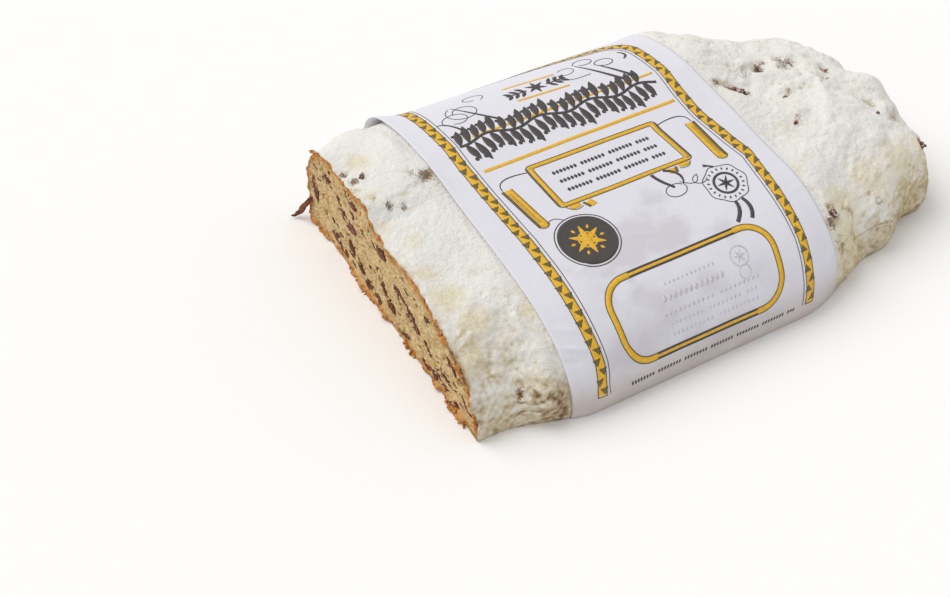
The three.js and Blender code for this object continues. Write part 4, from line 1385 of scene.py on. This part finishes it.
def sugar_material(colours):
    """Powdered sugar over a baked crust: white where it lies thick, cream and tan where it is thin, yellowed
    where butter has soaked through, and speckled brown and grey round the burnt fruit."""
    material, tree, shader, place = new_material("Sugared crust")
    uneven = calculate(tree, "ADD", attribute(tree, "sugar"), mottling(tree, place, 480, 0.5))
    cover = calculate(tree, "ADD", uneven, mottling(tree, place, 1500, 0.5), limited=True)
    colour = colour_steps(tree, cover, (
        (0.0, linear(124, 92, 66)), (0.16, linear(168, 144, 114)), (0.36, linear(203, 187, 158)),
        (0.54, linear(221, 211, 189)), (0.7, linear(232, 227, 215)),
        (0.86, colours.sugar), (1.0, colours.sugar),
    ))
    soaked = calculate(tree, "ADD", attribute(tree, "butter"), mottling(tree, place, 160, 1.6))
    soaked = calculate(tree, "MULTIPLY", value_steps(tree, soaked, 0.3, 1.0), 0.85)
    colour = colour_mix(tree, soaked, colour, (0.93, 0.86, 0.66), "MULTIPLY")
    fine = mottling(tree, place, 1050, 1.0)
    fleck = calculate(tree, "ADD", calculate(tree, "MULTIPLY", attribute(tree, "speckled"), 0.24), fine)
    tone = colour_steps(tree, calculate(tree, "ADD", mottling(tree, place, 350, 2.6), 0.5), (
        (0.25, linear(70, 62, 56)), (0.5, linear(112, 78, 58)), (0.8, linear(164, 128, 96))))
    fleck = calculate(tree, "MULTIPLY", value_steps(tree, fleck, 0.12, 0.22), 0.85)
    colour = colour_mix(tree, fleck, colour, tone)
    finish_surface(tree, shader, colour, 0.95, 0.15)
    fine_grain = grain(tree, place, 1500, 0.5)
    coarse_grain = calculate(tree, "MULTIPLY", grain(tree, place, 480, 0.8), 1.4)
    height = calculate(tree, "ADD", fine_grain, coarse_grain)
    bumps(tree, shader, height, 0.0009, 0.6)
    return material


def crumb_material(colours):
    """Buttery crumb with painted shade in its pores, and golden towards the baked edge."""
    material, tree, shader, place = new_material("Crumb")
    grains = calculate(tree, "ADD", mottling(tree, place, 210, 1.5), mottling(tree, place, 900, 1.6))
    colour = colour_steps(tree, calculate(tree, "ADD", grains, 0.5, limited=True), (
        (0.12, linear(168, 130, 84)), (0.4, colours.crumb), (0.66, linear(227, 202, 154)),
        (0.92, linear(241, 224, 184)),
    ))
    # painted shade: the crumb darkened where it lies deep in the pores
    pore_shade = calculate(tree, "MULTIPLY", attribute(tree, "pore_shade"), 0.7)
    colour = colour_mix(tree, pore_shade, colour, linear(146, 100, 60))
    baked = calculate(tree, "ADD", attribute(tree, "baked"), mottling(tree, place, 420, 0.9))
    baked = value_steps(tree, baked, 0.14, 0.85)
    crust = colour_steps(tree, calculate(tree, "ADD", mottling(tree, place, 500, 2.4), 0.5), (
        (0.2, linear(140, 88, 46)), (0.5, colours.baked), (0.85, linear(228, 182, 118))))
    finish_surface(tree, shader, colour_mix(tree, baked, colour, crust), 0.9, 0.15)
    bumps(tree, shader, grain(tree, place, 900, 0.9), 0.0009, 0.8)
    return material


def rim_material(colours):
    """Torn, toasted crumbs: golden brown with paler broken faces."""
    material, tree, shader, place = new_material("Toasted crumbs")
    tone = calculate(tree, "ADD", mottling(tree, place, 330, 2.6), 0.5, limited=True)
    colour = colour_steps(tree, tone, (
        (0.15, linear(142, 90, 48)), (0.5, colours.baked), (0.85, linear(230, 190, 130))))
    finish_surface(tree, shader, colour, 0.9, 0.15)
    bumps(tree, shader, grain(tree, place, 1500, 0.6), 0.0005, 0.7)
    return material


def raisin_material(colours, dusting):
    """Raisin skin, red-brown to nearly black and slightly glossy, and dusted with sugar in the crust."""
    material, tree, shader, place = new_material("Raisin" if dusting == 0 else "Dusted raisin")
    tone = calculate(tree, "ADD", mottling(tree, place, 420, 2.4), 0.5, limited=True)
    colour = colour_steps(tree, tone, (
        (0.2, linear(58, 28, 20)), (0.5, colours.raisin), (0.85, linear(158, 92, 56))))
    if dusting:
        dust = value_steps(tree, mottling(tree, place, 620, 1.0), 0.04 - 0.1 * dusting, 0.1)
        colour = colour_mix(tree, dust, colour, colours.sugar)
    finish_surface(tree, shader, colour, 0.6 + 0.3 * dusting, 0.25)
    bumps(tree, shader, grain(tree, place, 620, 0.4), 0.0006, 0.7)
    return material


def peel_material(colours):
    """Candied peel, from green to orange by the tint of each piece, and glossy with syrup."""
    material, tree, shader, place = new_material("Candied peel")
    tint = calculate(tree, "ADD", attribute(tree, "tint"), mottling(tree, place, 700, 0.4), limited=True)
    colour = colour_steps(tree, tint, (
        (0.0, linear(142, 140, 76)), (0.4, linear(204, 170, 92)), (1.0, colours.peel)))
    finish_surface(tree, shader, colour, 0.35)
    bumps(tree, shader, grain(tree, place, 900, 0.4), 0.0003, 0.5)
    return material


def paper_material(colours):
    """Smooth white paper with a lavender tone, darker in soft patches where butter has soaked in, and with
    warm, dim painted shade towards the foot."""
    material, tree, shader, place = new_material("Wrapping paper")
    fibres = mottling(tree, place, 900, 0.5)
    colour = colour_steps(tree, calculate(tree, "ADD", fibres, 0.5), (
        (0.2, tuple(c * 0.96 for c in colours.paper)), (0.8, tuple(colours.paper))))
    soaked = calculate(tree, "ADD", attribute(tree, "soaked"), mottling(tree, place, 60, 0.9))
    soaked = value_steps(tree, soaked, 0.06, 0.7)
    dimmed = calculate(tree, "MULTIPLY", soaked, 0.75)
    colour = colour_mix(tree, dimmed, colour, (0.79, 0.775, 0.775), "MULTIPLY")
    # painted shade: the paper made warmer and dimmer towards the foot
    foot = calculate(tree, "ADD", attribute(tree, "foot"), mottling(tree, place, 90, 0.5), limited=True)
    colour = colour_mix(tree, foot, colour, (0.72, 0.645, 0.555), "MULTIPLY")
    tree.links.new(colour, shader.inputs["Base Color"])
    smoother = calculate(tree, "MULTIPLY", soaked, 0.14)
    tree.links.new(calculate(tree, "SUBTRACT", 0.56, smoother), shader.inputs["Roughness"])
    shader.inputs["Specular IOR Level"].default_value = 0.3
    bumps(tree, shader, mottling(tree, place, 120, 1.0), 0.001, 0.3)
    return material


def ink_material(name, colour):
    """Printing ink: its colour a little uneven, as thick and thin on the paper."""
    material, tree, shader, place = new_material(name)
    tone = calculate(tree, "ADD", mottling(tree, place, 650, 2.0), 0.5, limited=True)
    thick, thin = tuple(c * 0.8 for c in colour), tuple(min(1, c * 1.12) for c in colour)
    finish_surface(tree, shader, colour_steps(tree, tone, ((0.2, thick), (0.8, thin))), 0.5)
    bumps(tree, shader, grain(tree, place, 1200, 0.3), 0.0001, 0.3)
    return material


def floor_material(colours):
    """A plain pale studio floor with the faintest unevenness."""
    material, tree, shader, place = new_material("Studio floor")
    tone = calculate(tree, "ADD", mottling(tree, place, 9, 1.0), 0.5, limited=True)
    dim, plain = tuple(c * 0.995 for c in colours.floor), tuple(colours.floor)
    finish_surface(tree, shader, colour_steps(tree, tone, ((0.2, dim), (0.8, plain))), 0.9, 0.1)
    return material


# ---------------------------------------------------------------- floor, light and camera


def make_stage(look, colours):
    """The floor, the soft light from behind and to the left, and the camera."""
    half = look.floor_size / 2
    mesh = bpy.data.meshes.new("floor")
    corners = [(-half, -half, 0), (half, -half, 0), (half, half, 0), (-half, half, 0)]
    mesh.from_pydata([(x, y, -look.floor_gap) for x, y, _ in corners], [], [(0, 1, 2, 3)])
    mesh.materials.append(floor_material(colours))
    floor = bpy.data.objects.new("floor", mesh)
    bpy.context.scene.collection.objects.link(floor)

    world = bpy.data.worlds.new("Studio")
    world.use_nodes = True
    world.node_tree.nodes["Background"].inputs["Color"].default_value = (*colours.ambient, 1)
    world.node_tree.nodes["Background"].inputs["Strength"].default_value = look.ambient_strength
    bpy.context.scene.world = world

    key = bpy.data.lights.new("key", "SUN")
    key.energy = look.key_strength
    key.angle = look.key_softness
    key.color = colours.key
    lamp = bpy.data.objects.new("key", key)
    lamp.matrix_world = Matrix.Rotation(look.key_azimuth, 4, "Z") @ Matrix.Rotation(look.key_tilt, 4, "X")
    bpy.context.scene.collection.objects.link(lamp)

    azimuth, elevation = look.view_azimuth, look.view_elevation
    back = Vector((math.sin(azimuth) * math.cos(elevation), -math.cos(azimuth) * math.cos(elevation),
                   math.sin(elevation)))
    camera = bpy.data.objects.new("camera", bpy.data.cameras.new("camera"))
    camera.data.lens = look.lens
    camera.data.sensor_width = 36
    camera.data.clip_start, camera.data.clip_end = 0.01, 50
    camera.location = Vector((look.target_x, look.target_y, 0)) + back * look.view_distance
    camera.rotation_mode = "QUATERNION"
    camera.rotation_quaternion = (-back).to_track_quat("-Z", "Y")
    bpy.context.scene.collection.objects.link(camera)
    bpy.context.scene.camera = camera
    bpy.context.scene.view_settings.view_transform = "Standard"


# ---------------------------------------------------------------- the add-on


def length(name, description, default):
    """A property that holds a length in metres."""
    return FloatProperty(name=name, description=description, default=default, unit="LENGTH", precision=5)


def number(name, description, default, unit="NONE"):
    """A property that holds a plain number."""
    return FloatProperty(name=name, description=description, default=default, unit=unit)


def angle(name, description, degrees):
    """A property that holds an angle, given in degrees."""
    return FloatProperty(name=name, description=description, default=math.radians(degrees), subtype="ANGLE")


def shade(name, description, default):
    """A property that holds a colour."""
    return FloatVectorProperty(name=name, description=description, default=default, subtype="COLOR",
                               size=3, min=0.0, max=1.0)


class StollenSizes(bpy.types.PropertyGroup):
    """Sizes of the loaf's finish, its crumb and its paper"""

    relief: number("Crust relief", "Strength of the lumps and cracks", 1.0)
    sugar_edge: length("Sugar edge", "Thickness of the sugar and crust that show at the cut", 0.0009)
    crumb_depth: length("Crumb depth", "How far the crumb goes in behind the cut", 0.0034)
    baked_edge: length("Baked edge", "Width of the browned edge of the crumb", 0.0037)
    rim_nubs: length("Rim nubs", "How far the torn edge stands out of the cut", 0.0011)
    raisin_wrinkle: number("Raisin wrinkle", "Depth of the creases in a raisin", 0.32)
    paper_thickness: length("Paper thickness", "Thickness of the band, with its gap to the crust", 0.00028)
    corner_lift: length("Corner lift", "How far the back corner of the paper stands off", 0.003)


class StollenColours(bpy.types.PropertyGroup):
    """Colours of the loaf, its filling, the paper and its print"""

    sugar: shade("Sugar", "Sugar where it lies thick", linear(241, 239, 234))
    crumb: shade("Crumb", "Middle tone of the crumb", linear(208, 177, 125))
    baked: shade("Baked edge", "Middle tone of the baked edge", linear(206, 141, 74))
    raisin: shade("Raisin", "Middle tone of the raisins", linear(104, 54, 36))
    peel: shade("Peel", "The most orange of the candied peel", linear(222, 160, 74))
    paper: shade("Paper", "The wrapping paper", linear(229, 228, 236))
    gold_ink: shade("Gold ink", "Border, rules and star", linear(236, 184, 44))
    shade_ink: shade("Shading ink", "Teeth of the border and the shaded rolls", linear(112, 98, 44))
    dark_ink: shade("Dark ink", "Garland, outlines and medallion", linear(70, 66, 64))
    faint_ink: shade("Faint ink", "The faint lines in the label frame", linear(210, 208, 216))
    floor: shade("Floor", "The studio floor", (0.975, 0.975, 0.975))
    ambient: shade("Ambient light", "Colour of the light from all round", (1.0, 1.0, 1.0))
    key: shade("Key light", "Colour of the main light", (1.0, 0.985, 0.96))


class StollenLook(bpy.types.PropertyGroup):
    """Floor, light and camera"""

    floor_size: length("Floor size", "Side of the square floor", 12.0)
    floor_gap: length("Floor gap", "How far the floor lies under the loaf", 0.0001)
    ambient_strength: number("Ambient", "Strength of the light from all round", 0.62)
    key_strength: number("Key", "Strength of the main light", 1.6)
    key_softness: angle("Key softness", "How wide the main light is", 50)
    key_azimuth: angle("Key azimuth", "Turn of the main light about the vertical", 218)
    key_tilt: angle("Key tilt", "Tilt of the main light from straight above", 38)
    lens: number("Lens", "Focal length for a sensor 36 mm wide", 51.54, unit="CAMERA")
    view_azimuth: angle("View azimuth", "Side that the camera stands on", -30.77)
    view_elevation: angle("View elevation", "Height of the camera as an angle", 43)
    view_distance: length("View distance", "From the camera to its target on the table", 0.62109)
    target_x: length("Target x", "Where on the table the camera looks, along the loaf", -0.09704)
    target_y: length("Target y", "Where on the table the camera looks, across the loaf", -0.00803)


class STOLLEN_OT_loaf(bpy.types.Operator):
    """Make the sugared crust, and the crumb that fills its cut end"""

    bl_idname = "stollen.make_loaf"
    bl_label = "Make the crust and crumb"

    def execute(self, context):
        sizes, colours = context.scene.stollen_sizes, context.scene.stollen_colours
        _, ring_at_cut = crust_piece(sizes, colours)
        crumb_piece(ring_at_cut, sizes, colours)
        return {"FINISHED"}


class STOLLEN_OT_filling(bpy.types.Operator):
    """Make the raisins, the pulled raisin skin, the candied peel and the torn crumbs"""

    bl_idname = "stollen.make_filling"
    bl_label = "Make the raisins, peel and crumbs"

    def execute(self, context):
        sizes, colours = context.scene.stollen_sizes, context.scene.stollen_colours
        cut_raisins_piece(sizes, colours)
        crust_raisins_piece(sizes, colours)
        curl_piece(colours)
        outline = smooth_form([0.0], CROWN_POINTS, BASE_POINTS)[0]
        slivers_piece(outline, colours)
        peel_piece(outline, colours)
        crumbs_piece(outline, colours)
        return {"FINISHED"}


class STOLLEN_OT_paper(bpy.types.Operator):
    """Make the paper band and the print on it"""

    bl_idname = "stollen.make_paper"
    bl_label = "Make the printed paper band"

    def execute(self, context):
        sizes, colours = context.scene.stollen_sizes, context.scene.stollen_colours
        table = paper_table(sizes)
        paper_piece(table, sizes, colours)
        print_pieces(table, colours)
        return {"FINISHED"}


class STOLLEN_OT_stage(bpy.types.Operator):
    """Make the floor, the light and the camera"""

    bl_idname = "stollen.make_stage"
    bl_label = "Make the stage"

    def execute(self, context):
        make_stage(context.scene.stollen_look, context.scene.stollen_colours)
        return {"FINISHED"}


class STOLLEN_PT_panel(bpy.types.Panel):
    """Everything that makes the stollen, in the order that it is made"""

    bl_label = "Stollen"
    bl_idname = "STOLLEN_PT_panel"
    bl_space_type = "VIEW_3D"
    bl_region_type = "UI"
    bl_category = "Stollen"

    def draw(self, context):
        """A button for each operator, then every setting in its box."""
        for operator in OPERATORS:
            self.layout.operator(operator.bl_idname)
        for group in (context.scene.stollen_sizes, context.scene.stollen_colours, context.scene.stollen_look):
            box = self.layout.box()
            for name in group.__annotations__:
                box.prop(group, name)


GROUPS = {"stollen_sizes": StollenSizes, "stollen_colours": StollenColours, "stollen_look": StollenLook}
OPERATORS = (STOLLEN_OT_loaf, STOLLEN_OT_filling, STOLLEN_OT_paper, STOLLEN_OT_stage)


def register():
    """Adds the groups, the operators and the panel to Blender."""
    for made in (*GROUPS.values(), *OPERATORS, STOLLEN_PT_panel):
        bpy.utils.register_class(made)
    for name, group in GROUPS.items():
        setattr(bpy.types.Scene, name, PointerProperty(type=group))


def unregister():
    """Takes them away again."""
    for name in GROUPS:
        delattr(bpy.types.Scene, name)
    for made in reversed((*GROUPS.values(), *OPERATORS, STOLLEN_PT_panel)):
        bpy.utils.unregister_class(made)


def main():
    """Makes everything in order."""
    register()
    bpy.ops.stollen.make_loaf()
    bpy.ops.stollen.make_filling()
    bpy.ops.stollen.make_paper()
    bpy.ops.stollen.make_stage()


if __name__ == "__main__":
    main()
